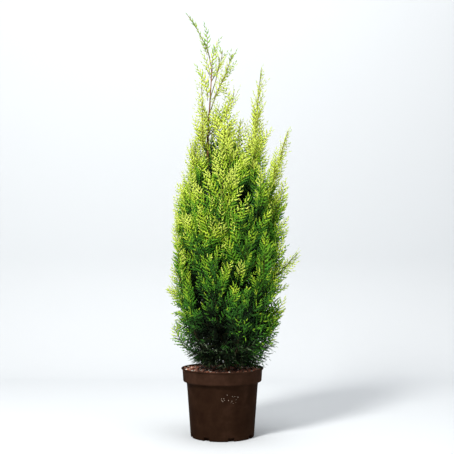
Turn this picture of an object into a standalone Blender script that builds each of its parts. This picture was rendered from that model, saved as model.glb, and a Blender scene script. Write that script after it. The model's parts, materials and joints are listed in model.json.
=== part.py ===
# A golden cypress in a round nursery pot, in metres, +Z up.
# The origin is the centre of the pot's underside. +X is the plant's right and -Y its front.

import math
import random

import bmesh
import bpy
from mathutils import Matrix, Vector
from mathutils.bvhtree import BVHTree

PLANT = "potted_cypress"
SEED = 11
GAP = 0.0003  # between pieces that touch
UP = Vector((0.0, 0.0, 1.0))

# Nursery pot of about five litres
POT_HEIGHT = 0.190
RIM_RADIUS = 0.115
COLLAR_DEPTH = 0.0373
COLLAR_STEP = 0.0024  # the slope under the collar, down to the neck
COLLAR_TOP_RADIUS = 0.1115
COLLAR_FOOT_RADIUS = 0.1094
NECK_RADIUS = 0.0996
BASE_RADIUS = 0.0885
WALL = 0.0018
LIP_THICKNESS = 0.0030
LIP_EDGE = 0.0012
FLOOR_TOP = 0.0075
FOOT_WIDTH = 0.0080
FOOT_HEIGHT = 0.0040
FOOT_EDGE = 0.0030
PAD_RADIUS = 0.0240
POT_STEPS = 32
DRAIN_COUNT = 8
DRAIN_TURN = 16
DRAIN_SIZE = (0.0200, 0.0170, 0.0210)  # along the radius, across it, and up
SOIL_TOP = 0.1810
SOIL_EDGE_DROP = 0.0040
SOIL_FLAT_RADIUS = 0.0300
SOIL_SLOPE_RADIUS = 0.0680

# Trunk: an upright flare from the soil, then a line through (x, y, z)
TRUNK_FOOT = (0.012, 0.000, SOIL_TOP + GAP)
TRUNK_LINE = (
    (0.012, 0.000, 0.2110),
    (0.002, 0.002, 0.3000),
    (-0.018, 0.004, 0.5000),
    (-0.034, 0.002, 0.6600),
    (-0.042, 0.000, 0.8000),
    (-0.035, -0.001, 0.9400),
    (-0.031, -0.002, 1.0200),
    (-0.036, -0.002, 1.0600),
)
TRUNK_FLARE_RADIUS = 0.0130
TRUNK_FOOT_RADIUS = 0.0078
TRUNK_TIP_RADIUS = 0.0011
TRUNK_TAPER_POWER = 1.05
FLARE_FADE = 0.0094  # the height in which the flare fades to about a third
FLARE_STEPS = 4
LINE_STEPS = 2  # pieces of a smooth line between two of its named points

# Crown: four tiers of rising plumes. Feet climb the trunk from foot, by rise from one to the next, and tips
# stand on a ring of radius reach round x = middle. Turn is the first plume's side in degrees from +X. Lean is
# how far from upright it leaves the trunk.
CROWN_X = 0.010
TIER_COUNT = 6
TIERS = (
    {
        "name": "skirt",
        "foot": 0.208,
        "rise": 0.003,
        "tip": 0.315,
        "middle": 0.002,
        "reach": 0.126,
        "turn": -70,
        "lean": 80,
        "wave": 3.5,
        "bough": False,
    },
    {
        "name": "lower",
        "foot": 0.248,
        "rise": 0.008,
        "tip": 0.440,
        "middle": 0.004,
        "reach": 0.136,
        "turn": -100,
        "lean": 72,
        "wave": 4.4,
        "bough": False,
    },
    {
        "name": "middle",
        "foot": 0.330,
        "rise": 0.008,
        "tip": 0.580,
        "middle": 0.013,
        "reach": 0.130,
        "turn": -65,
        "lean": 66,
        "wave": 5.7,
        "bough": True,
    },
    {
        "name": "upper",
        "foot": 0.415,
        "rise": 0.009,
        "tip": 0.695,
        "middle": 0.013,
        "reach": 0.122,
        "turn": -95,
        "lean": 62,
        "wave": 6.9,
        "bough": True,
    },
)
UNEVEN_REACH = 0.05  # share by which a tier's plumes differ in reach
UNEVEN_TIP = 0.028  # height by which their tips differ
REACH_WAVE = 2.4  # radians from one plume to the next, in the waves that make them differ
TIP_WAVE = 1.9

# Shoulders round the upper trunk, whose ring stands aside of the trunk towards +X
SHOULDER = {
    "count": 4,
    "foot": 0.505,
    "rise": 0.020,
    "tip": 0.790,
    "uneven_tip": 0.018,
    "reach": 0.066,
    "aside": 0.040,
    "turn": -68,
    "lean": 46,
    "size": (0.90, 0.84),
}

# Leaders: each leaves the trunk at its foot and runs through these places to its tip. Size is how long its
# sprays are at the bottom and at the top, against those of the tiers.
LEADERS = (
    {
        "name": "leader_right",
        "foot": 0.470,
        "through": (
            (0.040, 0.008, 0.570),
            (0.080, 0.012, 0.700),
            (0.094, 0.012, 0.870),
            (0.110, 0.014, 1.032),
        ),
        "bough": True,
        "size": (1.08, 0.46),
    },
    {
        "name": "leader_far_right",
        "foot": 0.400,
        "through": (
            (0.050, -0.012, 0.470),
            (0.105, -0.022, 0.580),
            (0.134, -0.024, 0.680),
            (0.183, -0.022, 0.851),
        ),
        "bough": True,
        "size": (1.00, 0.50),
    },
    {
        "name": "leader_second",
        "foot": 0.900,
        "through": ((-0.018, -0.006, 0.955), (0.008, -0.010, 1.012), (0.028, -0.012, 1.070)),
        "bough": False,
        "size": (0.66, 0.42),
    },
    {
        "name": "leader_small",
        "foot": 0.600,
        "through": ((0.000, 0.030, 0.665), (0.036, 0.048, 0.770), (0.052, 0.050, 0.889)),
        "bough": False,
        "size": (0.80, 0.66),
    },
    {
        "name": "stray_right",
        "foot": 0.300,
        "through": ((0.060, -0.022, 0.335), (0.130, -0.030, 0.425), (0.210, -0.030, 0.509)),
        "bough": False,
        "size": (0.84, 0.56),
    },
)

# Spire: short branches that climb the top of the trunk, each turned by twist from the one below it, and
# shorter by shrink
SPIRE = {
    "count": 8,
    "foot": 0.630,
    "rise": 0.052,
    "height": 0.190,
    "reach": 0.062,
    "shrink": 0.070,
    "aside": 0.014,
    "turn": 180,
    "twist": 137.5,
    "lean": 44,
    "size": (0.92, 0.72),
}
NOD = (
    (-0.036, -0.002, 1.0603),
    (-0.044, -0.003, 1.0880),
    (-0.060, -0.004, 1.1200),
    (-0.076, -0.005, 1.1500),
    (-0.0985, -0.006, 1.1820),
)
NOD_SIZE = (0.44, 0.34)

# Limbs: how a plume's line bends, and how thick its bough and stem are
ARRIVE_LEAN = 5
LEAVE_HANDLE = 0.34
ARRIVE_HANDLE = 0.44
LIMB_STEPS = 9
BOUGH_STEPS = 3
STEM_STEPS = 4
BOUGH_SHARE = 0.34
BOUGH_RADIUS = 0.0034
STEM_RADIUS = 0.0022
STEM_TIP_SHARE = 0.42
SLEEVE_GAP = 0.00034  # at the trunk's corners, which leaves the gap above at its flats
TRUNK_ROUNDNESS = 2
BOUGH_ROUNDNESS = 1
STEM_ROUNDNESS = 0

# Sprays: half of a toothed blade from root to tip, as shares of its length along it and across it
LONG_SPRAY_EDGE = (
    (0.00, 0.000),
    (0.33, 0.215),
    (0.36, 0.070),
    (0.60, 0.195),
    (0.56, 0.060),
    (0.82, 0.120),
    (0.76, 0.030),
    (1.00, 0.000),
)
SHORT_SPRAY_EDGE = (
    (0.00, 0.000),
    (0.42, 0.200),
    (0.44, 0.070),
    (0.74, 0.140),
    (0.68, 0.042),
    (1.00, 0.000),
)
SHORT_SPRAY = 0.076  # the length under which a spray has the shorter outline
RIB_PLACE = 0.30
SPRAY_THICKNESS = 0.028
SPRAY_LENGTH = 0.116
SMALLEST_SPRAY = 0.62  # the first and last sprays of a plume, against its longest
SIZE_AT_FOOT = 0.20  # where a plume's foot stands on the half wave of spray sizes
SIZE_POWER = 0.8
UNEVEN_SPRAY = (0.88, 1.10)
SPRAY_SPACING = 0.0254
FEWEST_SPRAYS = 4
FIRST_SPRAY = 0.10
UNEVEN_PLACE = 0.4
LAST_SPRAY_LENGTH = 0.045  # the one that ends the stem

# How a fan of sprays opens: angles in degrees from the stem, and turns out of the fan's plane
OPEN_ANGLE = 46
CLOSE_ANGLE = 24
UNEVEN_ANGLE = 5
OUTWARD_EVERY = 4  # one spray in so many leaves the fan and points outward
OUTWARD_TURN = 50
FAN_TURNS = (-16, 24)
FACING_SPREAD = 1.1
NEAR_MIDDLE = 0.012  # so close to the crown's middle, a fan faces the front

# Room that a spray leaves to its neighbours, and what is tried where there is none
CLEARANCE = 0.0008
SWELL = 0.03
LOWEST_SPRAY = POT_HEIGHT + 0.004
SHORTER_SPRAYS = (1.0, 0.84, 0.70, 0.58)
TURNS_TRIED = 3
TRIED_TILT = 17
TRIED_FACING = 0.7

COLOURS = {
    "pot_brown": ((0.040, 0.022, 0.015), 0.45),
    "soil": ((0.060, 0.028, 0.016), 0.95),
    "bark": ((0.130, 0.065, 0.035), 0.85),
    "foliage_dark": ((0.020, 0.060, 0.012), 0.60),
    "foliage_green": ((0.090, 0.220, 0.022), 0.60),
    "foliage_lime": ((0.420, 0.560, 0.040), 0.60),
}
DARK_BELOW = 0.36
LIME_ABOVE = 0.62


def clear_scene():
    for obj in list(bpy.data.objects):
        bpy.data.objects.remove(obj, do_unlink=True)


def new_collection(name):
    collection = bpy.data.collections.new(name)
    bpy.context.scene.collection.children.link(collection)
    return collection


def material(name):
    found = bpy.data.materials.get(name)
    if found:
        return found
    colour, roughness = COLOURS[name]
    made = bpy.data.materials.new(name)
    made.use_nodes = True
    shader = made.node_tree.nodes["Principled BSDF"]
    shader.inputs["Base Color"].default_value = (*colour, 1.0)
    shader.inputs["Roughness"].default_value = roughness
    shader.inputs["Metallic"].default_value = 0.0
    return made


def mesh_object(name, mesh, collection, finish=None):
    obj = bpy.data.objects.new(name, mesh)
    collection.objects.link(obj)
    if finish:
        mesh.materials.clear()
        mesh.materials.append(material(finish))
    return obj


# Lines and limbs


def to_side(turn):
    """The level direction so many degrees round from +X."""
    return Vector((math.cos(math.radians(turn)), math.sin(math.radians(turn)), 0.0))


def smooth_line(points, steps=LINE_STEPS):
    """A Catmull-Rom line through the points, with so many steps between each two."""
    knots = [Vector(p) for p in points]
    knots = [2 * knots[0] - knots[1], *knots, 2 * knots[-1] - knots[-2]]
    line = []
    for a, b, c, d in zip(knots, knots[1:], knots[2:], knots[3:]):
        for i in range(steps):
            t = i / steps
            even = 2 * b + (c - a) * t
            square = (2 * a - 5 * b + 4 * c - d) * t**2
            cube = (3 * b - a - 3 * c + d) * t**3
            line.append((even + square + cube) / 2)
    return [*line, knots[-2]]


def rising_line(foot, tip, turn, lean):
    """A limb that leaves its foot leaning out by so many degrees, and arrives at its tip almost upright."""
    span = (tip - foot).length
    away = to_side(turn)
    across = Vector((tip.x - foot.x, tip.y - foot.y, 0.0)).normalized()
    leave = away * math.sin(math.radians(lean)) + UP * math.cos(math.radians(lean))
    arrive = across * math.sin(math.radians(ARRIVE_LEAN)) + UP * math.cos(math.radians(ARRIVE_LEAN))
    a, b = foot + leave * span * LEAVE_HANDLE, tip - arrive * span * ARRIVE_HANDLE
    line = []
    for i in range(LIMB_STEPS + 1):
        t = i / LIMB_STEPS
        line.append(foot * (1 - t) ** 3 + a * 3 * t * (1 - t) ** 2 + b * 3 * t**2 * (1 - t) + tip * t**3)
    return line


def length_of(line):
    return sum((b - a).length for a, b in zip(line, line[1:]))


def place_on(line, distance):
    """The point that far along the line, and the line's direction there."""
    for a, b in zip(line, line[1:]):
        step = (b - a).length
        if distance <= step:
            return a.lerp(b, distance / step), (b - a).normalized()
        distance -= step
    return line[-1].copy(), (line[-1] - line[-2]).normalized()


def stretch_of(line, start, end, steps):
    """The stretch of the line between two distances along it, in equal steps."""
    return [place_on(line, start + (end - start) * i / steps)[0] for i in range(steps + 1)]


def at_height(line, height):
    for a, b in zip(line, line[1:]):
        if a.z <= height <= b.z:
            return a.lerp(b, (height - a.z) / (b.z - a.z))
    return line[-1].copy()


def limb_mesh(name, line, radii, roundness):
    """A tapering tube along a line, as one closed mesh: a bevelled curve whose caps are welded on."""
    curve = bpy.data.curves.new(name, "CURVE")
    curve.dimensions = "3D"
    curve.bevel_depth = 1.0
    curve.bevel_resolution = roundness
    curve.use_fill_caps = True
    spline = curve.splines.new("POLY")
    spline.points.add(len(line) - 1)
    for point, place, radius in zip(spline.points, line, radii):
        point.co = (*place, 1.0)
        point.radius = radius
    guide = bpy.data.objects.new(name, curve)
    bpy.context.scene.collection.objects.link(guide)
    graph = bpy.context.evaluated_depsgraph_get()
    mesh = bpy.data.meshes.new_from_object(guide.evaluated_get(graph))
    bpy.data.objects.remove(guide, do_unlink=True)
    shape = bmesh.new()
    shape.from_mesh(mesh)
    bmesh.ops.remove_doubles(shape, verts=shape.verts, dist=1e-6)
    bmesh.ops.recalc_face_normals(shape, faces=shape.faces)
    shape.to_mesh(mesh)
    shape.free()
    return mesh


def taper(line, start, end):
    return [start + (end - start) * i / (len(line) - 1) for i in range(len(line))]


def stem_radius(plume):
    return STEM_RADIUS * plume["size"][0]


def bough_radii(plume):
    return taper(plume["bough_line"], BOUGH_RADIUS, stem_radius(plume))


def stem_radii(plume):
    return taper(plume["stem_line"], stem_radius(plume), stem_radius(plume) * STEM_TIP_SHARE)


# Pot and soil


def inner_wall():
    """The inside of the pot from the floor's edge up to the lip, as (radius, height)."""
    collar_foot = POT_HEIGHT - COLLAR_DEPTH
    return [
        (BASE_RADIUS - WALL, FLOOR_TOP),
        (NECK_RADIUS - WALL, collar_foot),
        (COLLAR_FOOT_RADIUS - WALL, collar_foot + 2 * COLLAR_STEP),
        (COLLAR_TOP_RADIUS - WALL, POT_HEIGHT - LIP_THICKNESS),
    ]


def turned(name, profile, collection, finish):
    """A profile turned about +Z, from the axis back to the axis."""
    mesh = bpy.data.meshes.new(name)
    points = [(radius, 0.0, height) for radius, height in profile]
    mesh.from_pydata(points, [(i, i + 1) for i in range(len(points) - 1)], [])
    obj = mesh_object(name, mesh, collection, finish)
    screw = obj.modifiers.new("turn", "SCREW")
    screw.steps = screw.render_steps = POT_STEPS
    screw.use_merge_vertices = True
    screw.merge_threshold = 0.00001
    screw.use_smooth_shade = True
    return obj


def pot_profile():
    """The pot's section from its axis inside, over the lip and down the outside, to the axis underneath."""
    collar_foot = POT_HEIGHT - COLLAR_DEPTH
    lip_foot = POT_HEIGHT - LIP_THICKNESS
    lip = [
        (COLLAR_TOP_RADIUS - LIP_EDGE, POT_HEIGHT - LIP_EDGE / 3),
        (RIM_RADIUS - LIP_EDGE, POT_HEIGHT),
        (RIM_RADIUS, POT_HEIGHT - LIP_EDGE),
        (RIM_RADIUS - LIP_EDGE / 2, lip_foot),
    ]
    outside = [
        (COLLAR_TOP_RADIUS, lip_foot - LIP_EDGE),
        (COLLAR_FOOT_RADIUS, collar_foot + COLLAR_STEP),
        (COLLAR_FOOT_RADIUS - COLLAR_STEP, collar_foot),
        (NECK_RADIUS, collar_foot - COLLAR_STEP),
        (BASE_RADIUS, FOOT_EDGE),
        (BASE_RADIUS - FOOT_EDGE / 2, 0.0),
    ]
    ring_inside = BASE_RADIUS - FOOT_WIDTH
    underside = [
        (ring_inside, 0.0),
        (ring_inside - FOOT_HEIGHT / 2, FOOT_HEIGHT),
        (PAD_RADIUS + FOOT_HEIGHT / 2, FOOT_HEIGHT),
        (PAD_RADIUS, 0.0),
        (0.0, 0.0),
    ]
    return [(0.0, FLOOR_TOP), *inner_wall(), *lip, *outside, *underside]


def make_drain(i, cutters):
    """A block through the bottom edge of the pot, where the drain notch will be."""
    turn = DRAIN_TURN + 360 * i / DRAIN_COUNT
    place = to_side(turn) * BASE_RADIUS
    bpy.ops.mesh.primitive_cube_add(size=1.0, location=place, rotation=(0.0, 0.0, math.radians(turn)))
    drain = bpy.context.active_object
    drain.name = f"drain_{i + 1}"
    drain.scale = DRAIN_SIZE
    for old in list(drain.users_collection):
        old.objects.unlink(drain)
    cutters.objects.link(drain)
    drain.hide_render = True
    drain.display_type = "WIRE"


def make_pot(parts, cutters):
    pot = turned("pot", pot_profile(), parts, "pot_brown")
    for i in range(DRAIN_COUNT):
        make_drain(i, cutters)
    cut = pot.modifiers.new("drains", "BOOLEAN")
    cut.operation = "DIFFERENCE"
    cut.operand_type = "COLLECTION"
    cut.collection = cutters


def make_soil(parts):
    """Compost that fills the pot to just under its lip: level at the trunk and a little lower at the wall."""
    bottom, neck, low, high = [(radius - GAP, height + GAP) for radius, height in inner_wall()]
    edge = SOIL_TOP - SOIL_EDGE_DROP
    edge_radius = low[0] + (high[0] - low[0]) * (edge - low[1]) / (high[1] - low[1])
    slope = (SOIL_SLOPE_RADIUS, SOIL_TOP - SOIL_EDGE_DROP / 2)
    top = [(0.0, SOIL_TOP), (SOIL_FLAT_RADIUS, SOIL_TOP), slope, (edge_radius, edge)]
    turned("soil", [*top, low, neck, bottom, (0.0, bottom[1])], parts, "soil")


# Trunk and boughs


def trunk_line():
    foot = Vector(TRUNK_FOOT)
    rise = TRUNK_LINE[0][2] - foot.z
    flare = [foot + UP * rise * i / FLARE_STEPS for i in range(FLARE_STEPS)]
    return [*flare, *smooth_line(TRUNK_LINE)]


def trunk_radii(line, extra=0.0):
    foot, tip = line[0].z, line[-1].z
    radii = []
    for place in line:
        share = (place.z - foot) / (tip - foot)
        slender = (TRUNK_FOOT_RADIUS - TRUNK_TIP_RADIUS) * (1 - share) ** TRUNK_TAPER_POWER
        flare = (TRUNK_FLARE_RADIUS - TRUNK_FOOT_RADIUS) * math.exp(-(place.z - foot) / FLARE_FADE)
        radii.append(TRUNK_TIP_RADIUS + slender + flare + extra)
    return radii


def make_trunk(line, parts):
    mesh = limb_mesh("trunk", line, trunk_radii(line), TRUNK_ROUNDNESS)
    mesh_object("trunk", mesh, parts, "bark")


def make_sleeve(line, cutters):
    """The trunk with the gap round it, which cuts each limb's foot to the trunk's face."""
    mesh = limb_mesh("trunk_sleeve", line, trunk_radii(line, SLEEVE_GAP), TRUNK_ROUNDNESS)
    sleeve = mesh_object("trunk_sleeve", mesh, cutters)
    sleeve.hide_render = True
    sleeve.display_type = "WIRE"
    return sleeve


# Layout of the crown


def plume_of(name, line, bough=False, size=(1.0, 1.0)):
    return {"name": name, "line": line, "bough": bough, "size": size}


def tier_plumes(trunk):
    plumes = []
    for tier in TIERS:
        for k in range(TIER_COUNT):
            turn = tier["turn"] + 360 * k / TIER_COUNT
            reach = tier["reach"] * (1 + UNEVEN_REACH * math.sin(REACH_WAVE * k + tier["wave"]))
            tip_height = tier["tip"] + UNEVEN_TIP * math.sin(TIP_WAVE * k + tier["wave"])
            tip = Vector((tier["middle"], 0.0, tip_height)) + to_side(turn) * reach
            foot = at_height(trunk, tier["foot"] + tier["rise"] * ((2 * k) % TIER_COUNT + k // 3))
            line = rising_line(foot, tip, turn, tier["lean"])
            plumes.append(plume_of(f"{tier['name']}_{k + 1}", line, tier["bough"]))
    return plumes


def shoulder_plumes(trunk):
    plumes = []
    for k in range(SHOULDER["count"]):
        turn = SHOULDER["turn"] + 360 * k / SHOULDER["count"]
        tip = at_height(trunk, SHOULDER["tip"]) + to_side(turn) * SHOULDER["reach"]
        tip += Vector((SHOULDER["aside"], 0.0, SHOULDER["uneven_tip"] * (1 if k % 2 == 0 else -1)))
        foot = at_height(trunk, SHOULDER["foot"] + SHOULDER["rise"] * k)
        line = rising_line(foot, tip, turn, SHOULDER["lean"])
        plumes.append(plume_of(f"shoulder_{k + 1}", line, size=SHOULDER["size"]))
    return plumes


def leader_plumes(trunk):
    plumes = []
    for leader in LEADERS:
        line = smooth_line((at_height(trunk, leader["foot"]), *leader["through"]))
        plumes.append(plume_of(leader["name"], line, leader["bough"], leader["size"]))
    return plumes


def spire_plumes(trunk):
    plumes = []
    for k in range(SPIRE["count"]):
        turn = SPIRE["turn"] + SPIRE["twist"] * k
        size = 1 - SPIRE["shrink"] * k
        foot = at_height(trunk, SPIRE["foot"] + SPIRE["rise"] * k)
        tip = at_height(trunk, foot.z + SPIRE["height"] * size)
        tip = Vector((tip.x + SPIRE["aside"], tip.y, foot.z + SPIRE["height"] * size))
        tip += to_side(turn) * SPIRE["reach"] * (1 + size) / 2
        line = rising_line(foot, tip, turn, SPIRE["lean"])
        plumes.append(plume_of(f"spire_{k + 1}", line, size=[share * size for share in SPIRE["size"]]))
    return plumes


def nodding_tip():
    """The green tip that goes on from the end of the trunk, and so has no foot to cut."""
    return plume_of("spire_tip", [Vector(place) for place in NOD], size=NOD_SIZE)


def split_limb(plume):
    """Divides a plume's line into the bough that carries it and the stem of its foliage."""
    line = plume["line"]
    whole = length_of(line)
    bough_end = whole * BOUGH_SHARE if plume["bough"] else 0.0
    stem_end = whole - LAST_SPRAY_LENGTH
    stem_start = bough_end + (GAP if plume["bough"] else 0.0)
    plume["bough_line"] = stretch_of(line, 0.0, bough_end, BOUGH_STEPS) if plume["bough"] else None
    plume["stem_line"] = stretch_of(line, stem_start, stem_end, STEM_STEPS)


# Sprays


def spray_shape(root, direction, facing, length, swell=0.0):
    """A flat toothed outline raised to a rib on both faces. Swell makes it larger, to test for room."""
    side = direction.cross(facing).normalized()
    normal = side.cross(direction).normalized()
    edge = SHORT_SPRAY_EDGE if length < SHORT_SPRAY else LONG_SPRAY_EDGE
    rim = [*edge, *[(along, -across) for along, across in edge[-2:0:-1]]]
    rib = normal * (SPRAY_THICKNESS / 2 + swell)
    reach = length * (1 + swell)
    shape = bmesh.new()
    corners = [shape.verts.new(root + (direction * along + side * across) * reach) for along, across in rim]
    for sign, loop in ((1, corners), (-1, corners[::-1])):
        outline = shape.faces.new(loop)
        centre = bmesh.ops.poke(shape, faces=[outline])["verts"][0]
        centre.co = root + (direction * RIB_PLACE + rib * sign) * length
    bmesh.ops.recalc_face_normals(shape, faces=shape.faces)
    return shape


def mesh_of(name, shape):
    mesh = bpy.data.meshes.new(name)
    shape.to_mesh(mesh)
    shape.free()
    return mesh


def outward_at(place, along):
    """The direction away from the crown's middle at a place on a stem, square to the stem."""
    outward = Vector((place.x - CROWN_X, place.y, 0.0))
    if outward.length < NEAR_MIDDLE:
        outward = Vector((0.0, -1.0, 0.0))
    return (outward - along * outward.dot(along)).normalized()


def spray_size(share):
    """A spray's length as a share of the longest: fullest part of the way up its stem."""
    fullness = math.sin(math.pi * (SIZE_AT_FOOT + share * (1 - SIZE_AT_FOOT)))
    return SMALLEST_SPRAY + (1 - SMALLEST_SPRAY) * fullness**SIZE_POWER


def spray_plan(plume, rng):
    """Where each spray of a plume grows: its root, direction, facing and length, in a fan facing outward."""
    line = plume["stem_line"]
    whole = length_of(line)
    lower, upper = plume["size"]
    count = max(FEWEST_SPRAYS, round(whole / (SPRAY_SPACING * (lower + upper) / 2)))
    plans = []
    for i in range(count):
        share = FIRST_SPRAY + (1 - FIRST_SPRAY) * (i + UNEVEN_PLACE * rng.random()) / count
        root, along = place_on(line, whole * share)
        outward = outward_at(root, along)
        across = along.cross(outward) * (1 if i % 2 else -1)
        turn = math.radians(OUTWARD_TURN if i % OUTWARD_EVERY == 1 else rng.uniform(*FAN_TURNS))
        side = across * math.cos(turn) + outward * math.sin(turn)
        angle = OPEN_ANGLE + (CLOSE_ANGLE - OPEN_ANGLE) * share + rng.uniform(-UNEVEN_ANGLE, UNEVEN_ANGLE)
        direction = along * math.cos(math.radians(angle)) + side * math.sin(math.radians(angle))
        facing = (outward + across * rng.uniform(-FACING_SPREAD, FACING_SPREAD)).normalized()
        size = (lower + (upper - lower) * share) * spray_size(share) * rng.uniform(*UNEVEN_SPRAY)
        plans.append((root, direction, facing, SPRAY_LENGTH * size))
    sunk = stem_radius(plume)
    root, along = place_on(line, whole - sunk)
    plans.append((root, along, outward_at(root, along), LAST_SPRAY_LENGTH + sunk))
    return plans


# Keeping each mass to its own space


def tree_of_limb(line, radii, roundness):
    """A search tree of a limb drawn too thick by the room it keeps."""
    mesh = limb_mesh("room", line, [radius + CLEARANCE for radius in radii], roundness)
    places = [vertex.co for vertex in mesh.vertices]
    tree = BVHTree.FromPolygons(places, [list(face.vertices) for face in mesh.polygons])
    bpy.data.meshes.remove(mesh)
    return tree


def limb_trees(trunk, plumes):
    """A search tree for each limb, with the name of the plume that it belongs to."""
    trees = [("trunk", tree_of_limb(trunk, trunk_radii(trunk), TRUNK_ROUNDNESS))]
    for plume in plumes:
        stem = tree_of_limb(plume["stem_line"], stem_radii(plume), STEM_ROUNDNESS)
        trees.append((plume["name"], stem))
        if plume["bough"]:
            bough = tree_of_limb(plume["bough_line"], bough_radii(plume), BOUGH_ROUNDNESS)
            trees.append(("bough", bough))
    return trees


def place_spray(plan, owner, limbs, sprays, rng):
    """The spray in the first size and turn that touches nothing but its own stem, or None."""
    root, direction, facing, length = plan
    for share in SHORTER_SPRAYS:
        for _ in range(TURNS_TRIED):
            shape = spray_shape(root, direction, facing, length * share, SWELL)
            low = min(vert.co.z for vert in shape.verts) < LOWEST_SPRAY
            tree = BVHTree.FromBMesh(shape)
            shape.free()
            touches = low or any(tree.overlap(other) for other in sprays)
            if not touches and not any(tree.overlap(limb) for name, limb in limbs if name != owner):
                sprays.append(tree)
                return root, direction, facing, length * share
            tilt = math.radians(rng.uniform(-TRIED_TILT, TRIED_TILT))
            facing = facing + direction.cross(facing) * rng.uniform(-TRIED_FACING, TRIED_FACING)
            facing.normalize()
            direction = (Matrix.Rotation(tilt, 3, direction.orthogonal()) @ direction).normalized()
    return None


# Building


def apply_modifiers(obj):
    graph = bpy.context.evaluated_depsgraph_get()
    mesh = bpy.data.meshes.new_from_object(obj.evaluated_get(graph))
    obj.modifiers.clear()
    obj.data = mesh


def keep_largest_body(obj):
    """Drops any loose scrap that a cut has left."""
    shape = bmesh.new()
    shape.from_mesh(obj.data)
    left, bodies = set(shape.verts), []
    while left:
        body, edge_of_body = set(), [left.pop()]
        while edge_of_body:
            vert = edge_of_body.pop()
            body.add(vert)
            for edge in vert.link_edges:
                other = edge.other_vert(vert)
                if other in left:
                    left.remove(other)
                    edge_of_body.append(other)
        bodies.append(body)
    bodies.sort(key=len)
    for body in bodies[:-1]:
        bmesh.ops.delete(shape, geom=list(body), context="VERTS")
    shape.to_mesh(obj.data)
    shape.free()


def cut_foot(obj, sleeve):
    cut = obj.modifiers.new("foot", "BOOLEAN")
    cut.operation = "DIFFERENCE"
    cut.object = sleeve


def make_bough(plume, sleeve, parts):
    name = f"bough_{plume['name']}"
    mesh = limb_mesh(name, plume["bough_line"], bough_radii(plume), BOUGH_ROUNDNESS)
    bough = mesh_object(name, mesh, parts, "bark")
    cut_foot(bough, sleeve)
    apply_modifiers(bough)
    keep_largest_body(bough)


def foliage_finish(plume):
    height = plume["line"][-1].z
    if height < DARK_BELOW:
        return "foliage_dark"
    return "foliage_lime" if height > LIME_ABOVE else "foliage_green"


def make_mass(plume, plans, sleeve, parts):
    """One mass of foliage: a stem with its sprays joined on, and its foot cut to the trunk if it meets it."""
    name = f"foliage_{plume['name']}"
    mesh = limb_mesh(name, plume["stem_line"], stem_radii(plume), STEM_ROUNDNESS)
    mass = mesh_object(name, mesh, parts, foliage_finish(plume))
    sprays = new_collection(f"sprays_{plume['name']}")
    for i, plan in enumerate(plans):
        mesh_object(f"spray_{i}", mesh_of(f"spray_{i}", spray_shape(*plan)), sprays)
    join = mass.modifiers.new("join", "BOOLEAN")
    join.operation = "UNION"
    join.operand_type = "COLLECTION"
    join.collection = sprays
    if sleeve:
        cut_foot(mass, sleeve)
    apply_modifiers(mass)
    for spray in list(sprays.objects):
        bpy.data.objects.remove(spray, do_unlink=True)
    bpy.data.collections.remove(sprays)
    keep_largest_body(mass)


def main():
    clear_scene()
    parts = new_collection(PLANT)
    drains = new_collection("drain_cutters")
    cutters = new_collection("foot_cutters")
    make_pot(parts, drains)
    make_soil(parts)
    trunk = trunk_line()
    make_trunk(trunk, parts)
    sleeve = make_sleeve(trunk, cutters)
    from_trunk = [*tier_plumes(trunk), *shoulder_plumes(trunk), *leader_plumes(trunk), *spire_plumes(trunk)]
    plumes = [*from_trunk, nodding_tip()]
    for plume in plumes:
        split_limb(plume)
    limbs = limb_trees(trunk, plumes)
    sprays = []
    for index, plume in enumerate(plumes):
        rng = random.Random(SEED + index)
        plans = [place_spray(plan, plume["name"], limbs, sprays, rng) for plan in spray_plan(plume, rng)]
        plans = [plan for plan in plans if plan]
        if plume["bough"]:
            make_bough(plume, sleeve, parts)
        meets_trunk = plume in from_trunk and not plume["bough"]
        make_mass(plume, plans, sleeve if meets_trunk else None, parts)


main()
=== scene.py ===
import json
import math

import bmesh
import bpy
import numpy as np
from mathutils import Matrix, Vector


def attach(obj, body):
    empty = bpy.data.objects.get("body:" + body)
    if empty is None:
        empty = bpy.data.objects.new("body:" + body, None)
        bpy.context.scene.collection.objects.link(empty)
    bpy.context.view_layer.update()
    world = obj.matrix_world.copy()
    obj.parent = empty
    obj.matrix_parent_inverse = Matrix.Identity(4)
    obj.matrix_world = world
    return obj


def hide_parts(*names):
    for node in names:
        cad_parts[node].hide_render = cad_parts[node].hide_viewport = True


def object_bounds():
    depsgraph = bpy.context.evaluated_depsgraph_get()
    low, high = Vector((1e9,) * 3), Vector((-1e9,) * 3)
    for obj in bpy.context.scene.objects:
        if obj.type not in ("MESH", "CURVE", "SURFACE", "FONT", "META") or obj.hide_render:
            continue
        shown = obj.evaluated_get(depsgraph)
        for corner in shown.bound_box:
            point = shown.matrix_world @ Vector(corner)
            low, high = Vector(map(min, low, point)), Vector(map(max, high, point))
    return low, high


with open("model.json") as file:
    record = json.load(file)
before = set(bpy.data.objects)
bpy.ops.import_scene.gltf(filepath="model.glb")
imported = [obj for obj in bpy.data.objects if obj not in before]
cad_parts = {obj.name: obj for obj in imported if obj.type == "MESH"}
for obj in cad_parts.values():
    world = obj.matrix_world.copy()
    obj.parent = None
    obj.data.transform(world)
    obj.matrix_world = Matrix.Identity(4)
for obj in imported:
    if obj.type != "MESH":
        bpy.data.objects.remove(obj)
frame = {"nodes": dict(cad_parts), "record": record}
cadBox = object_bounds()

seed = 11
up = np.array([0.0, 0.0, 1.0])
front = np.array([0.0, -1.0, 0.0])
soilTop, rimHeight = 0.181, 0.19
crownX = 0.01  # the crown's middle, seen from the front
nearMiddle = 0.012  # nearer to it than this, outward is to the front
goldenTurn = 137.5
threeSided = np.radians([90, 210, 330])
print("golden cypress: frame loaded", len(frame["nodes"]), "nodes")


# vector tools, all on whole arrays

def unit(v):  # v divided by its own length
    return v / np.maximum(np.linalg.norm(v, axis=-1, keepdims=True), 1e-12)


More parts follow.
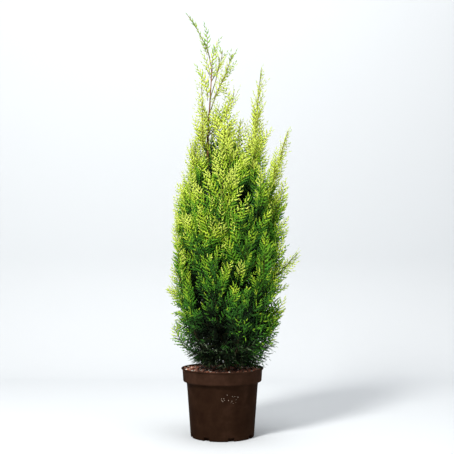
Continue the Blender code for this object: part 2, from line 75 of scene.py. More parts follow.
def toSide(turn):  # level direction, turn degrees round from +X
    a = np.radians(turn)
    return np.stack([np.cos(a), np.sin(a), np.zeros_like(a, dtype=float)], axis=-1)


def mix(a, b, t):  # a + (b - a) t
    return a + (b - a) * t


def between(a, b, angle):  # a cos + b sin: turned from a toward b
    return a * np.cos(angle)[..., None] + b * np.sin(angle)[..., None]


def travelled(line):  # length along the line to each of its points
    return np.concatenate([[0.0], np.cumsum(np.linalg.norm(np.diff(line, axis=0), axis=1))])


def readOff(line, along, at):  # the line's point where the rising measure along is at
    return np.stack([np.interp(at, along, line[:, i]) for i in range(3)], axis=-1)


def placesOn(line, share):  # points and directions at these shares of the line's length
    far = travelled(line)
    at, step = np.asarray(share) * far[-1], 0.02 * far[-1]
    return readOff(line, far, at), unit(readOff(line, far, at + step) - readOff(line, far, at - step))


def atHeight(line, z):
    return readOff(line, line[:, 2], z)


def smoothLine(points, steps):  # Catmull-Rom: the cubic through each four neighbours
    p = np.array(points, float)
    p = np.vstack([2 * p[0] - p[1], p, 2 * p[-1] - p[-2]])
    a, b, c, d = (p[i:len(p) - 3 + i, None] for i in range(4))
    t = (np.arange(steps) / steps)[None, :, None]
    line = 0.5 * (2 * b + (c - a) * t + (2 * a - 5 * b + 4 * c - d) * t**2 + (3 * b - a - 3 * c + d) * t**3)
    return np.vstack([line.reshape(-1, 3), p[-2]])


rising = {"arrive": 5, "leavePull": 0.34, "arrivePull": 0.44, "steps": 24}


def risingLine(foot, tip, turn, lean):  # Bezier: leaves leaning out, arrives almost upright
    span, lean, arrive = np.linalg.norm(tip - foot), math.radians(lean), math.radians(rising["arrive"])
    leave = toSide(turn) * math.sin(lean) + up * math.cos(lean)
    arrive = unit((tip - foot) * [1, 1, 0]) * math.sin(arrive) + up * math.cos(arrive)
    a, b = foot + leave * span * rising["leavePull"], tip - arrive * span * rising["arrivePull"]
    t = np.linspace(0, 1, rising["steps"] + 1)[:, None]
    return foot * (1 - t)**3 + a * 3 * t * (1 - t)**2 + b * 3 * t**2 * (1 - t) + tip * t**3


def outwardAt(place, along):  # away from the crown's middle, or to the front near it, square to the stem
    out = place * [1, 1, 0] - np.array([crownX, 0, 0])
    near = np.linalg.norm(out, axis=-1, keepdims=True) < nearMiddle
    out = np.where(near, front, out)
    return unit(out - along * (out * along).sum(-1, keepdims=True))


# meshes from arrays

allPieces = []


def putMesh(name, verts, faces, material, slot, replaced=(), smooth=True):  # triangles, straight from arrays
    mesh = bpy.data.meshes.new(name)
    mesh.vertices.add(len(verts))
    mesh.vertices.foreach_set("co", np.ascontiguousarray(verts, np.float32).ravel())
    mesh.loops.add(len(faces) * 3)
    mesh.loops.foreach_set("vertex_index", np.ascontiguousarray(faces, np.int32).ravel())
    mesh.polygons.add(len(faces))
    mesh.polygons.foreach_set("loop_start", np.arange(0, len(faces) * 3, 3, dtype=np.int32))
    mesh.polygons.foreach_set("use_smooth", np.full(len(faces), smooth))
    mesh.update(calc_edges=True)
    mesh.materials.append(material)
    obj = bpy.data.objects.new(name, mesh)
    bpy.context.scene.collection.objects.link(obj)
    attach(obj, "root")
    if replaced:
        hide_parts(*replaced)
    allPieces.append((name, len(faces)))
    return obj


def outwardFaces(verts, faces):  # turns all faces about where the closed shape's volume comes out negative
    a, b, c = (verts[faces[:, i]] for i in range(3))
    return faces[:, ::-1] if (a * np.cross(b, c)).sum() < 0 else faces


def repeated(verts, faces):  # verts (shapes, points, 3), each shape with the same faces
    offsets = np.arange(len(verts)) * verts.shape[1]
    return verts.reshape(-1, 3), (faces[None] + offsets[:, None, None]).reshape(-1, 3)


# rings (shapes, rings, spokes, 3) joined to their neighbours, and closed by a point at each end
def lofted(rings, first, last):
    count, spokes = rings.shape[1:3]
    verts = np.concatenate([first[:, None], rings.reshape(len(rings), -1, 3), last[:, None]], 1)
    here = 1 + np.arange(count * spokes).reshape(count, spokes)
    aside = np.roll(here, -1, axis=1)
    low, high = np.zeros(spokes, int), np.full(spokes, count * spokes + 1)
    wall = np.stack([here[:-1], aside[:-1], aside[1:], here[:-1], aside[1:], here[1:]], -1).reshape(-1, 3)
    ends = [np.stack([low, aside[0], here[0]], -1), np.stack([high, here[-1], aside[-1]], -1)]
    return repeated(verts, outwardFaces(verts[0], np.vstack([wall, *ends])))


def ringsAbout(centre, side, normal, radius, angle):  # centre + radius (side cos + normal sin)
    turned = between(side[..., None, :], normal[..., None, :], angle)
    return centre[..., None, :] + radius[..., None] * turned


# rings about the line, whose radius relief(angle, along) scales
def tube(line, radii, sides, ref, relief=None):
    along = unit(np.gradient(line, axis=0))
    side = unit(np.cross(along, np.broadcast_to(ref, along.shape)))
    a = np.arange(sides) * 2 * np.pi / sides
    r = np.repeat(radii[:, None], sides, axis=1)
    if relief:
        r = r * relief(a, travelled(line)[:, None])
    return lofted(ringsAbout(line, side, np.cross(side, along), r, a)[None], line[:1], line[-1:])


def joined(parts):  # several (verts, faces) as one
    starts = np.cumsum([0] + [len(verts) for verts, _ in parts])
    moved = [faces + start for (_, faces), start in zip(parts, starts)]
    return np.vstack([verts for verts, _ in parts]), np.vstack(moved)


def clean(obj, angle=35):  # drops points that no face uses, welds what lies together, keeps sharp edges sharp
    shape = bmesh.new()
    shape.from_mesh(obj.data)
    bmesh.ops.remove_doubles(shape, verts=shape.verts, dist=1e-6)
    bmesh.ops.delete(shape, geom=[v for v in shape.verts if not v.link_faces], context="VERTS")
    shape.to_mesh(obj.data)
    shape.free()
    obj.data.set_sharp_from_angle(angle=math.radians(angle))


# materials

def srgb(r, g, b):  # 0-255 as seen, to linear light
    c = np.array([r, g, b]) / 255
    return tuple(np.where(c <= 0.04045, c / 12.92, ((c + 0.055) / 1.055)**2.4))


def newMaterial(name, roughness, specular):
    mat = bpy.data.materials.new(name)
    mat.use_nodes = True
    shader = mat.node_tree.nodes["Principled BSDF"]
    shader.inputs["Roughness"].default_value = roughness
    shader.inputs["Specular IOR Level"].default_value = specular
    return mat, mat.node_tree, shader


def nodeWith(tree, kind, values):  # a node with these input values
    node = tree.nodes.new(kind)
    for key, value in values.items():
        node.inputs[key].default_value = value
    return node


def objectNoise(tree, scale, detail, stretch=(1, 1, 1)):
    coord = tree.nodes.new("ShaderNodeTexCoord")
    mapping = nodeWith(tree, "ShaderNodeMapping", {"Scale": stretch})
    noise = nodeWith(tree, "ShaderNodeTexNoise", {"Scale": scale, "Detail": detail})
    tree.links.new(coord.outputs["Object"], mapping.inputs["Vector"])
    tree.links.new(mapping.outputs["Vector"], noise.inputs["Vector"])
    return noise.outputs["Fac"]


def addBump(tree, shader, height, strength, distance):
    bump = nodeWith(tree, "ShaderNodeBump", {"Strength": strength, "Distance": distance})
    tree.links.new(height, bump.inputs["Height"])
    tree.links.new(bump.outputs["Normal"], shader.inputs["Normal"])


def dealColours(tree, shader, value, stops):  # the base colour follows a value from 0 to 1
    node = tree.nodes.new("ShaderNodeValToRGB")
    while len(node.color_ramp.elements) < len(stops):
        node.color_ramp.elements.new(0.5)
    for element, (place, colour) in zip(node.color_ramp.elements, stops):
        element.position = place
        element.color = (*srgb(*colour), 1.0)
    tree.links.new(value, node.inputs["Fac"])
    tree.links.new(node.outputs["Color"], shader.inputs["Base Color"])


def leafMaterial(name, colour, roughness=0.62):  # one plain colour and a fine bump
    mat, tree, shader = newMaterial(name, roughness, 0.16)
    shader.inputs["Base Color"].default_value = (*srgb(*colour), 1.0)
    addBump(tree, shader, objectNoise(tree, 900, 1.0), 0.35, 0.0006)
    return mat


# one noise deals the colours and, where bump gives a strength and a depth, raises the surface
def grainedMaterial(name, roughness, specular, scale, detail, stops, bump=None, stretch=(1, 1, 1)):
    mat, tree, shader = newMaterial(name, roughness, specular)
    grain = objectNoise(tree, scale, detail, stretch)
    dealColours(tree, shader, grain, stops)
    if bump:
        addBump(tree, shader, grain, *bump)
    return mat


# the limbs, by the same rule as the solids

trunk = {
    "foot": (0.012, 0.000, soilTop + 0.0003),
    "line": ((0.012, 0.000, 0.211), (0.002, 0.002, 0.3), (-0.018, 0.004, 0.5), (-0.034, 0.002, 0.66),
             (-0.042, 0.000, 0.8), (-0.035, -0.001, 0.94), (-0.031, -0.002, 1.02), (-0.036, -0.002, 1.06)),
    "flareRadius": 0.013, "footRadius": 0.0078, "tipRadius": 0.0011, "power": 1.05, "fade": 0.0094,
}
tiers = (
    {"name": "skirt", "foot": 0.208, "rise": 0.003, "tip": 0.315, "middle": 0.002, "reach": 0.126,
     "turn": -70, "lean": 80, "wave": 3.5, "bough": False},
    {"name": "lower", "foot": 0.248, "rise": 0.008, "tip": 0.44, "middle": 0.004, "reach": 0.136,
     "turn": -100, "lean": 72, "wave": 4.4, "bough": False},
    {"name": "middle", "foot": 0.33, "rise": 0.008, "tip": 0.58, "middle": 0.013, "reach": 0.13,
     "turn": -65, "lean": 66, "wave": 5.7, "bough": True},
    {"name": "upper", "foot": 0.415, "rise": 0.009, "tip": 0.695, "middle": 0.013, "reach": 0.122,
     "turn": -95, "lean": 62, "wave": 6.9, "bough": True},
)
tierCount = 6
uneven = {"reach": 0.05, "tip": 0.028, "reachWave": 2.4, "tipWave": 1.9}
shoulder = {"count": 4, "foot": 0.505, "rise": 0.02, "tip": 0.79, "unevenTip": 0.018, "reach": 0.066,
            "aside": 0.04, "turn": -68, "lean": 46, "size": (0.9, 0.84)}
leaders = (
    {"name": "leader_right", "foot": 0.47, "bough": True, "size": (1.08, 0.46),
     "through": ((0.04, 0.008, 0.57), (0.08, 0.012, 0.7), (0.094, 0.012, 0.87), (0.11, 0.014, 1.032))},
    {"name": "leader_far_right", "foot": 0.4, "bough": True, "size": (1.00, 0.5),
     "through": ((0.05, -0.012, 0.47), (0.105, -0.022, 0.58), (0.134, -0.024, 0.68), (0.183, -0.022, 0.851))},
    {"name": "leader_second", "foot": 0.9, "bough": False, "size": (0.46, 0.3),
     "through": ((-0.018, -0.006, 0.955), (0.008, -0.01, 1.012), (0.028, -0.012, 1.07))},
    {"name": "leader_small", "foot": 0.6, "bough": False, "size": (0.8, 0.66),
     "through": ((0.000, 0.03, 0.665), (0.036, 0.048, 0.77), (0.052, 0.05, 0.889))},
    {"name": "stray_right", "foot": 0.3, "bough": False, "size": (0.84, 0.56),
     "through": ((0.06, -0.022, 0.335), (0.13, -0.03, 0.425), (0.21, -0.03, 0.509))},
)
spire = {"count": 8, "foot": 0.63, "rise": 0.052, "height": 0.19, "reach": 0.062, "shrink": 0.07,
         "aside": 0.014, "turn": 180, "lean": 44, "size": (0.92, 0.72)}
nod = {"size": (0.44, 0.34),
       "line": ((-0.036, -0.002, 1.0603), (-0.044, -0.003, 1.088), (-0.06, -0.004, 1.12),
                (-0.076, -0.005, 1.15), (-0.0985, -0.006, 1.182))}
boughRule = {"share": 0.34, "radius": 0.0034}
stemRule = {"radius": 0.0022, "tipRadius": 0.001, "overlap": 0.03, "turn": 37.0}


def trunkLine():
    foot = np.array(trunk["foot"])
    rise = trunk["line"][0][2] - foot[2]
    flare = foot + up * rise * np.linspace(0, 1, 12, endpoint=False)[:, None]
    return np.vstack([flare, smoothLine(trunk["line"], 12)])


def trunkRadii(line):  # tip + (foot - tip)(1 - share)^power, and a flare that fades upwards
    z = line[:, 2]
    share = (z - z[0]) / (z[-1] - z[0])
    slender = (trunk["footRadius"] - trunk["tipRadius"]) * (1 - share)**trunk["power"]
    flare = (trunk["flareRadius"] - trunk["footRadius"]) * np.exp(-(z - z[0]) / trunk["fade"])
    return trunk["tipRadius"] + slender + flare


def plume(name, line, bough=False, size=(1.0, 1.0), **more):
    return {"name": name, "line": line, "bough": bough, "size": size, **more}


def crownPlumes(trunkPath):
    found = []
    for tier in tiers:
        for k in range(tierCount):
            turn = tier["turn"] + 360 * k / tierCount
            reach = tier["reach"] * (1 + uneven["reach"] * math.sin(uneven["reachWave"] * k + tier["wave"]))
            height = tier["tip"] + uneven["tip"] * math.sin(uneven["tipWave"] * k + tier["wave"])
            tip = np.array([tier["middle"], 0, height]) + toSide(turn) * reach
            foot = atHeight(trunkPath, tier["foot"] + tier["rise"] * ((2 * k) % tierCount + k // 3))
            line = risingLine(foot, tip, turn, tier["lean"])
            name = f"{tier['name']}_{k + 1}"
            found.append(plume(name, line, tier["bough"], tier=tier, turn=turn, reach=reach))
    for k in range(shoulder["count"]):
        turn = shoulder["turn"] + 360 * k / shoulder["count"]
        tip = atHeight(trunkPath, shoulder["tip"]) + toSide(turn) * shoulder["reach"]
        tip = tip + np.array([shoulder["aside"], 0, shoulder["unevenTip"] * (1 if k % 2 == 0 else -1)])
        foot = atHeight(trunkPath, shoulder["foot"] + shoulder["rise"] * k)
        line = risingLine(foot, tip, turn, shoulder["lean"])
        found.append(plume(f"shoulder_{k + 1}", line, size=shoulder["size"]))
    for leader in leaders:
        line = smoothLine((atHeight(trunkPath, leader["foot"]), *leader["through"]), 10)
        found.append(plume(leader["name"], line, leader["bough"], leader["size"]))
    for k in range(spire["count"]):
        turn = spire["turn"] + goldenTurn * k
        size = 1 - spire["shrink"] * k
        foot = atHeight(trunkPath, spire["foot"] + spire["rise"] * k)
        top = foot[2] + spire["height"] * size
        tip = atHeight(trunkPath, top)
        tip = np.array([tip[0] + spire["aside"], tip[1], top])
        tip = tip + toSide(turn) * spire["reach"] * (1 + size) / 2
        line = risingLine(foot, tip, turn, spire["lean"])
        found.append(plume(f"spire_{k + 1}", line, size=tuple(s * size for s in spire["size"])))
    return [*found, plume("spire_tip", smoothLine(nod["line"], 8), size=nod["size"])]


trunkPath = trunkLine()
plumes = crownPlumes(trunkPath)
print("limbs laid out:", len(plumes), "plumes")


# fronds: side twigs that leave each stem left and right in a fan that faces outward

frondRule = {
    "spacing": 0.0098, "length": 0.112,  # along the stem, left and right in turn
    "open": 46, "close": 24, "stray": (-7, 7),  # degrees from the stem at its foot and tip
    "first": 0.08, "firstOnBough": 0.16, "last": 0.985, "end": 0.9,  # shares of the stem
    "radialEvery": 3, "radialTurn": (48, 86), "flatTurn": (-24, 24), "radialLength": 0.74, "past": 0.004,
    "longer": (0.78, 1.1), "bend": 0.06,
    "facing": (-0.7, 0.7), "facingUp": (-0.2, 0.2), "facingOut": (-0.4, 0.4),
    "endShare": 0.1, "endLonger": 0.022, "endShorter": -0.008,  # length of the frond at the stem's end
    "spire": ((0.82, 1.00), (0.86, 0.58)),  # length of the spire's fronds, by the height of their stem
    "slimFrom": 1.00, "slimOver": 0.06,  # above this height the leaders' fronds turn slender
    # low ones hang and high ones rise
    "lift": ((0.2, 0.27, 0.34, 0.42, 1.2), (-0.45, -0.38, -0.12, 0.08, 0.14)),
}
sparseStems = {"leader_second": 1.5, "leader_right": 1.4, "leader_far_right": 1.3, "leader_small": 1.3,
               "stray_right": 1.6, "spire_5": 2.2, "spire_6": 2.0, "spire_7": 1.5, "spire_8": 1.5}


# root + length (direction t + bend t^2), for t from 0 to 1, is a frond's own line
def frondSet(root, direction, facing, length, share, bend, inner=0.0, bright=0.0, slim=0.0):
    found = {"root": root, "direction": direction, "facing": facing, "length": length, "bend": bend}
    same = {"share": share, "inner": inner, "bright": bright, "slim": slim}
    return found | {key: np.array(np.broadcast_to(value, len(length)), float) for key, value in same.items()}


# direction = along cos(angle) + side sin(angle), where side turns from across the stem toward the open.
# Two in three lie flat to the crown's surface, one in three stands edge-on to it and points outward.
def frondsOf(stem, rng):
    rule, line, tiered = frondRule, stem["line"], "tier" in stem
    whole = travelled(line)[-1]
    lower, upper = stem["size"]
    start = rule["firstOnBough"] if stem["bough"] else rule["first"]
    sparse = sparseStems.get(stem["name"], 1.0)
    count = max(5, int(round(whole * (1 - start) / (rule["spacing"] * sparse))))
    i = np.arange(count)
    share = start + (rule["last"] - start) * (i + 0.5 * rng.random(count)) / count
    root, along = placesOn(line, share)
    outward = outwardAt(root, along)
    across = np.cross(along, outward) * np.where(i % 2 == 0, 1, -1)[:, None]
    radial = i % rule["radialEvery"] == 1
    steep, level = (rng.uniform(*rule[key], count) for key in ("radialTurn", "flatTurn"))
    side = between(across, outward, np.radians(np.where(radial, steep, level)))
    angle = np.radians(mix(rule["open"], rule["close"], share) + rng.uniform(*rule["stray"], count))
    direction = unit(between(along, side, angle))
    aside, above, apart = (rng.uniform(*rule[key], (count, 1)) for key in ("facing", "facingUp", "facingOut"))
    facing = unit(np.where(radial[:, None], across + outward * apart, outward + across * aside + up * above))
    fuller = 0.55 + 0.45 * np.sin(np.pi * np.clip(0.16 + share * 0.82, 0, 1))**0.8  # part of the way up
    length = rule["length"] * mix(lower, upper, share) * fuller * rng.uniform(*rule["longer"], count)
    length = length * np.where(radial, rule["radialLength"], 1.0) * sparse**0.5
    if stem["name"].startswith("spire"):
        length = length * np.interp(line[-1][2], *rule["spire"])
    if not tiered:  # a leader's side fronds stop just past its own tip
        length = np.minimum(length, ((1 - share) * whole + rule["past"]) / np.cos(angle))
    tip, tipAlong = placesOn(line, np.array([rule["end"]]))
    root = np.vstack([root, tip])
    direction = np.vstack([direction, tipAlong])
    facing = np.vstack([facing, outwardAt(tip, tipAlong)])
    more = rule["endLonger"] * upper if tiered else rule["endShorter"]
    length = np.append(length, rule["endShare"] * whole + more)
    bend = rng.normal(scale=rule["bend"], size=root.shape)
    bend[:, 2] += np.interp(root[:, 2], *rule["lift"])
    slim = np.clip((root[:, 2] - rule["slimFrom"]) / rule["slimOver"], 0, 1)
    share = np.append(share, 1.0)
    return frondSet(root, direction, facing, length, share, bend, bright=stem["luck"], slim=slim)


def faceOf(turn, index):  # flat to the crown's surface and edge-on to it, in turn
    return toSide(turn + (0 if index % 2 == 0 else 90))


# one frond that ends at the tip: its bend is what along lacks of the way there
def curvedFrond(root, along, tip, facing, share, bright=0.0, slim=0.0):
    length = np.array([np.linalg.norm(tip - root) * 1.04])
    bend = (tip - root) / length - along
    return frondSet(root[None], along[None], facing[None], length, share, bend[None], 0.0, bright, slim)


# longer fronds that rise between each plume and its neighbours

fans = (
    # where they leave their plume, degrees aside, share of its reach, and how far under its tip they end
    (0.3, 23, 1.02, 0.12), (0.36, -25, 1.04, 0.085), (0.44, 11, 0.86, 0.01), (0.52, -12, 0.96, 0.15),
    (0.62, 2, 1.05, 0.06),
)
fanRule = {"longest": 0.165, "lean": 0.55, "out": 0.25, "bright": 0.04,
           "turn": (-5, 5), "height": (-0.015, 0.015), "reach": (0.96, 1.05), "facing": (-0.5, 0.5)}


def fansOf(parent, rng):
    if "tier" not in parent:
        return []
    tier, found = parent["tier"], []
    for leave, aside, reach, drop in fans:
        root, along = placesOn(parent["line"], leave)
        turn = parent["turn"] + aside + rng.uniform(*fanRule["turn"])
        tip = np.array([tier["middle"], 0, parent["line"][-1][2] - drop + rng.uniform(*fanRule["height"])])
        tip = tip + toSide(turn) * parent["reach"] * reach * rng.uniform(*fanRule["reach"])
        tip[2] = max(tip[2], root[2] + 0.02)
        if np.linalg.norm(tip - root) > fanRule["longest"]:
            root = tip - unit(tip - root) * fanRule["longest"]
        start = along * (1 - fanRule["lean"]) + unit(tip - root) * fanRule["lean"]
        facing = unit(faceOf(turn, len(found)) + toSide(turn + 45) * rng.uniform(*fanRule["facing"]))
        start = unit(start + toSide(turn) * fanRule["out"])
        found.append(curvedFrond(root, start, tip, facing, 0.8, fanRule["bright"] + parent["luck"]))
    return found


# fronds that the photo shows apart. Each grows from the nearest place on a stem.
# The tip's x, y and z and the length in millimetres, then in hundredths how far the frond leans to the right
# at its foot, and how bright it is.
namedFronds = (
    (32, -20, 960, 80, -35, 0), (118, -6, 930, 60, -25, 0), (33.3, -18, 1039, 60, -30, 0),
    (25, -20, 993, 60, -25, 2), (8.7, -14, 1032, 55, -10, 0), (-14.3, -18, 987, 50, 30, 2),
    (19, -24, 968, 60, -10, 4), (40, -18, 945, 70, -30, 2), (46, -16, 905, 70, -25, 2),
    (8, -34, 925, 70, 10, 5), (-60, -14, 965, 60, 35, 2), (-72, -12, 940, 60, 40, 2),
    (-80, -12, 915, 70, 40, 2),
    # the front at half height and below
    (59, -125, 472, 100, -10, 10), (64, -128, 413, 100, -10, 2), (-39, -128, 500, 110, 5, 4),
    (-108, -70, 616, 120, 15, 12), (-67, -118, 483, 110, 10, -8), (-96, -96, 437, 110, 20, -6),
    (108, -100, 456, 110, -15, -2), (124, -85, 500, 110, -20, 0), (146, -50, 538, 110, -25, 4),
    (103, -105, 380, 100, -25, -4), (15, -145, 363, 100, 0, -2), (-39, -132, 391, 100, 10, -6),
    (-110, -80, 369, 100, 30, 0), (-78, -112, 347, 90, 20, -6), (42, -140, 337, 90, -10, -2),
    (124, -80, 337, 90, -35, 2), (25, -120, 615, 120, -5, 6), (-30, -118, 600, 120, 5, 8),
    (10, -128, 545, 110, 0, 4), (60, -110, 520, 110, -10, -6), (66, -40, 742, 85, 0, -12),
    (74, -36, 716, 80, 0, -14), (58, -84, 716, 100, 0, -8), (69, -90, 728, 100, -5, -6),
    (86, -75, 555, 90, -10, -8), (62, -100, 445, 80, -5, -10), (40, -100, 452, 80, 0, -10),
    (-78, -85, 468, 85, 15, -12),
    # the right-hand side, from the rim upwards
    (154, -45, 262, 80, -60, 0), (159, -30, 294, 80, -60, 2), (142, -60, 236, 75, -60, -2),
    (128, -80, 262, 80, -40, -4), (120, -92, 300, 85, -35, -4), (142, -65, 330, 85, -45, -2),
    (154, -45, 375, 85, -45, 0), (112, -95, 238, 70, -40, -4), (160, -40, 420, 90, -40, 0),
    (128, -85, 405, 95, -25, -4), (98, -108, 268, 75, -30, -4), (156, -40, 345, 85, -50, 2),
    # the right-hand edge, and two in front of the stem
    (172, -20, 640, 110, -35, 10), (178, -10, 575, 110, -40, 10), (166, -40, 548, 120, -25, 10),
    (174, -20, 525, 100, -40, 8), (158, -50, 590, 120, -20, 12), (174, -20, 482, 100, -45, 8),
    (180, -20, 418, 90, -50, 6), (170, -30, 352, 80, -50, 6), (160, -40, 312, 80, -50, 4),
    (150, -60, 455, 110, -25, 8), (4, -115, 505, 120, 0, 2), (-13, -110, 470, 110, 5, 0),
    # between the leaders, and the left-hand side of the spire
    (136, -10, 859, 90, -35, 0), (64, -20, 845, 90, 20, 0), (96, -30, 830, 100, 5, 0),
    (150, -30, 800, 80, -10, 0), (170, -20, 790, 70, -30, 0), (52, 30, 889, 90, -10, 0),
    (-83, -20, 891, 100, 25, 4), (-92, -10, 850, 90, 30, 4), (-92, -30, 790, 100, 20, 4),
    (-30, -45, 900, 110, 0, 5), (6, -50, 880, 110, -5, 5), (-60, -50, 840, 110, 5, 5),
    (22, -60, 820, 110, -10, 5), (-20, -70, 790, 120, 0, 5), (-133.8, -10, 713, 120, 20, 10),
    (-108, -50, 700, 120, 15, 12), (-80, -80, 720, 130, 10, 8), (-55, -70, 765, 120, 0, 6),
    (-65, -85, 690, 120, 5, 4), (-45, -90, 730, 120, 0, 4), (45, -85, 745, 120, 0, 0),
    (62, -70, 775, 110, 0, 0), (60, -62, 740, 110, 0, 2), (78, -52, 712, 110, 0, 0),
    (90, -45, 748, 100, -5, 2), (52, -75, 700, 120, 0, 0), (74, -60, 768, 110, 5, 0),
    (86, -62, 728, 110, -5, 0), (108, -45, 735, 100, -15, 2), (120, -50, 700, 100, -15, 4),
    (100, -60, 690, 120, -5, 0), (70, -55, 790, 100, 0, 2), (-4.5, -115, 671, 150, 0, 14),
    (70, -100, 665, 140, -10, 2), (181, -10, 671, 110, -45, 6), (181, -30, 604, 100, -50, 6),
    (128, -95, 617, 130, -10, 10), (83, -120, 570, 130, -10, 8), (117.5, -110, 562, 120, -5, 8),
    (-133, -20, 640, 120, 15, 12), (-134, -30, 575, 120, 15, 10), (-95, -95, 610, 130, 5, 10),
    (-55, -110, 560, 130, 5, 6), (51, -135, 485, 120, -5, 16), (30, -145, 425, 110, 0, 14),
    (178, -30, 450, 90, -50, 4), (172, -40, 385, 80, -55, 6),
    # the left-hand edge, downwards, and two low ones in front
    (-145.6, -20, 488, 100, 35, 6), (-148.6, -15, 405.5, 90, 45, 4), (-158, 60, 403, 90, 45, -4),
    (-124, -45, 262, 70, 55, -2), (-113, -65, 240, 65, 50, -2), (-96, -85, 230, 65, 40, -2),
    (-134, -30, 288, 75, 55, 0), (-108, -80, 290, 75, 35, -2), (-150, -15, 330, 80, 55, 4),
    (-124.6, -40, 245, 70, 60, -2), (130, -50, 222, 70, -60, 0), (65, -130, 330, 80, -10, 0),
)
# slender twigs that stand free: tip and foot in tenths of a millimetre, and in hundredths how far they bow
slimTwigs = (
    (-560, -38, 11120, -400, -25, 10740, 0), (-740, -50, 11460, -550, -38, 11100, 0),
    (-985, -60, 11830, -735, -50, 11450, 0), (-502, -50, 11569, -430, -30, 10790, 10),
    (-819, -70, 11647, -735, -50, 11440, 5), (-45, -100, 11156, -320, -30, 10295, -12),
    (-589, -120, 10764, -345, -20, 10040, 14), (337, -140, 10690, 80, -100, 10100, -8),
    (53, -180, 10533, -190, -40, 9950, -12), (-763, -120, 10382, -400, -20, 9500, 14),
    (-280, 220, 10650, -330, 0, 10000, 10), (140, 140, 10100, -250, -20, 9450, -10),
    (200, -200, 10250, 0, -120, 9900, -8), (-605, -80, 11120, -490, -40, 10840, 2),
    (-545, 20, 10980, -430, -20, 10700, 4), (-567, -100, 10455, -385, -20, 10150, 10),
    (-208, -80, 10863, -180, -60, 10600, 4), (-700, -100, 9700, -520, -60, 9100, -4),
    (-470, -120, 9900, -420, -40, 9400, 0), (1175, 120, 9970, 1045, 130, 9620, -6),
    (985, 100, 9920, 1050, 130, 9550, 8), (1200, 60, 9660, 1020, 130, 9220, -10),
    (890, 40, 9640, 1000, 130, 9150, 10), (830, 0, 9430, 960, 120, 8650, 12),
    (1210, 200, 9360, 1000, 130, 8900, -10), (1740, -300, 8280, 1640, -220, 7900, 6),
    (1830, -150, 8170, 1680, -220, 8050, -5), (1640, -360, 8060, 1560, -220, 7560, 8),
    (1860, -200, 7920, 1600, -220, 7700, -10), (1870, -340, 4960, 1600, -300, 4560, 10),
    (2090, -240, 4860, 1750, -300, 4700, -6), (1700, -400, 4820, 1440, -300, 4380, 10),
    (1950, -300, 4600, 1550, -300, 4480, -8),
)
placedRule = {
    # places on each stem where a foot may be, how far under its wish or tip it has to be, and what more costs
    "feet": (0.05, 0.92, 60), "under": 0.02, "above": 2.0,
    "along": 0.4, "share": 0.9, "outward": 0.25, "face": 0.35,
    "bow": 2.0, "rise": 0.3, "slimFace": 0.2, "low": 0.6, "lowBright": 0.14, "slimBright": 0.05,
}
stemPlaces, stemDirections = (np.concatenate(found) for found in zip(*(
    placesOn(stem["line"], np.linspace(*placedRule["feet"])) for stem in plumes)))


def slimTwig(twig):
    rule = placedRule
    tip, foot, bow = np.array(twig[:3]) / 10000, np.array(twig[3:6]) / 10000, twig[6] / 100
    start = unit(unit(tip - foot) + np.array([bow * rule["bow"], 0, rule["rise"]]))
    bright = rule["lowBright"] if tip[2] < rule["low"] else rule["slimBright"]
    return curvedFrond(foot, start, tip, unit(front + rule["slimFace"] * start), rule["share"], bright, 1.0)


def frondTo(tip, wished, facing, bright):  # from the place on a stem that is nearest to the wished foot
    rule = placedRule
    above = np.maximum(0, stemPlaces[:, 2] - max(tip[2], wished[2]) + rule["under"])
    nearest = np.argmin(np.linalg.norm(stemPlaces - wished, axis=1) + rule["above"] * above)
    root, along = stemPlaces[nearest], stemDirections[nearest]
    start = unit(along * rule["along"] + unit(tip - root))
    return curvedFrond(root, start, tip, facing, rule["share"], bright)


def namedFrond(frond):
    tip, length, lean, bright = np.array(frond[:3]) / 1000, frond[3] / 1000, frond[4] / 100, frond[5] / 100
    outward = unit(tip * [1, 1, 0] - [crownX, 0, 0])
    wished = tip - unit(np.array([-lean, 0, 1]) + placedRule["outward"] * outward) * length
    return frondTo(tip, wished, unit(front + placedRule["face"] * outward), bright)


# fronds that close up round a leader: tips on a spiral that narrows as it climbs
clusters = (
    # middle x and y, lowest and highest tip, radius there, count, length, and 1 for the inside twigs, dark
    # with painted shade
    (0.01, 0.0, 0.25, 0.56, 0.143, 0.138, 104, 0.095, 0), (0.01, 0.0, 0.28, 0.6, 0.102, 0.09, 96, 0.1, 1),
    (0.01, 0.0, 0.24, 0.64, 0.108, 0.1, 56, 0.095, 0), (0.01, 0.0, 0.25, 0.68, 0.134, 0.124, 144, 0.09, 0),
    (-0.02, 0.0, 0.66, 0.8, 0.09, 0.06, 34, 0.1, 0), (-0.004, 0.0, 0.8, 0.95, 0.052, 0.026, 36, 0.085, 0),
    (-0.06, 0.0, 0.78, 0.93, 0.028, 0.01, 24, 0.085, 0), (0.1, 0.01, 0.74, 0.945, 0.04, 0.008, 28, 0.1, 0),
    (0.15, -0.02, 0.66, 0.79, 0.034, 0.01, 16, 0.09, 0), (0.12, -0.01, 0.58, 0.72, 0.048, 0.02, 24, 0.1, 0),
    (-0.1, 0.0, 0.58, 0.7, 0.036, 0.012, 16, 0.11, 0), (0.045, 0.045, 0.72, 0.85, 0.045, 0.015, 18, 0.1, 0),
    (0.07, -0.01, 0.67, 0.79, 0.034, 0.022, 22, 0.095, 0),
)
clusterRule = {
    "drooping": ((0.27, 0.42), (-0.35, 1.0)),  # low down they come from above and droop
    "turn": (-15, 15), "outward": (0.9, 0.25), "longer": (0.85, 1.1), "facing": (-0.6, 0.6), "bright": 0.05,
}


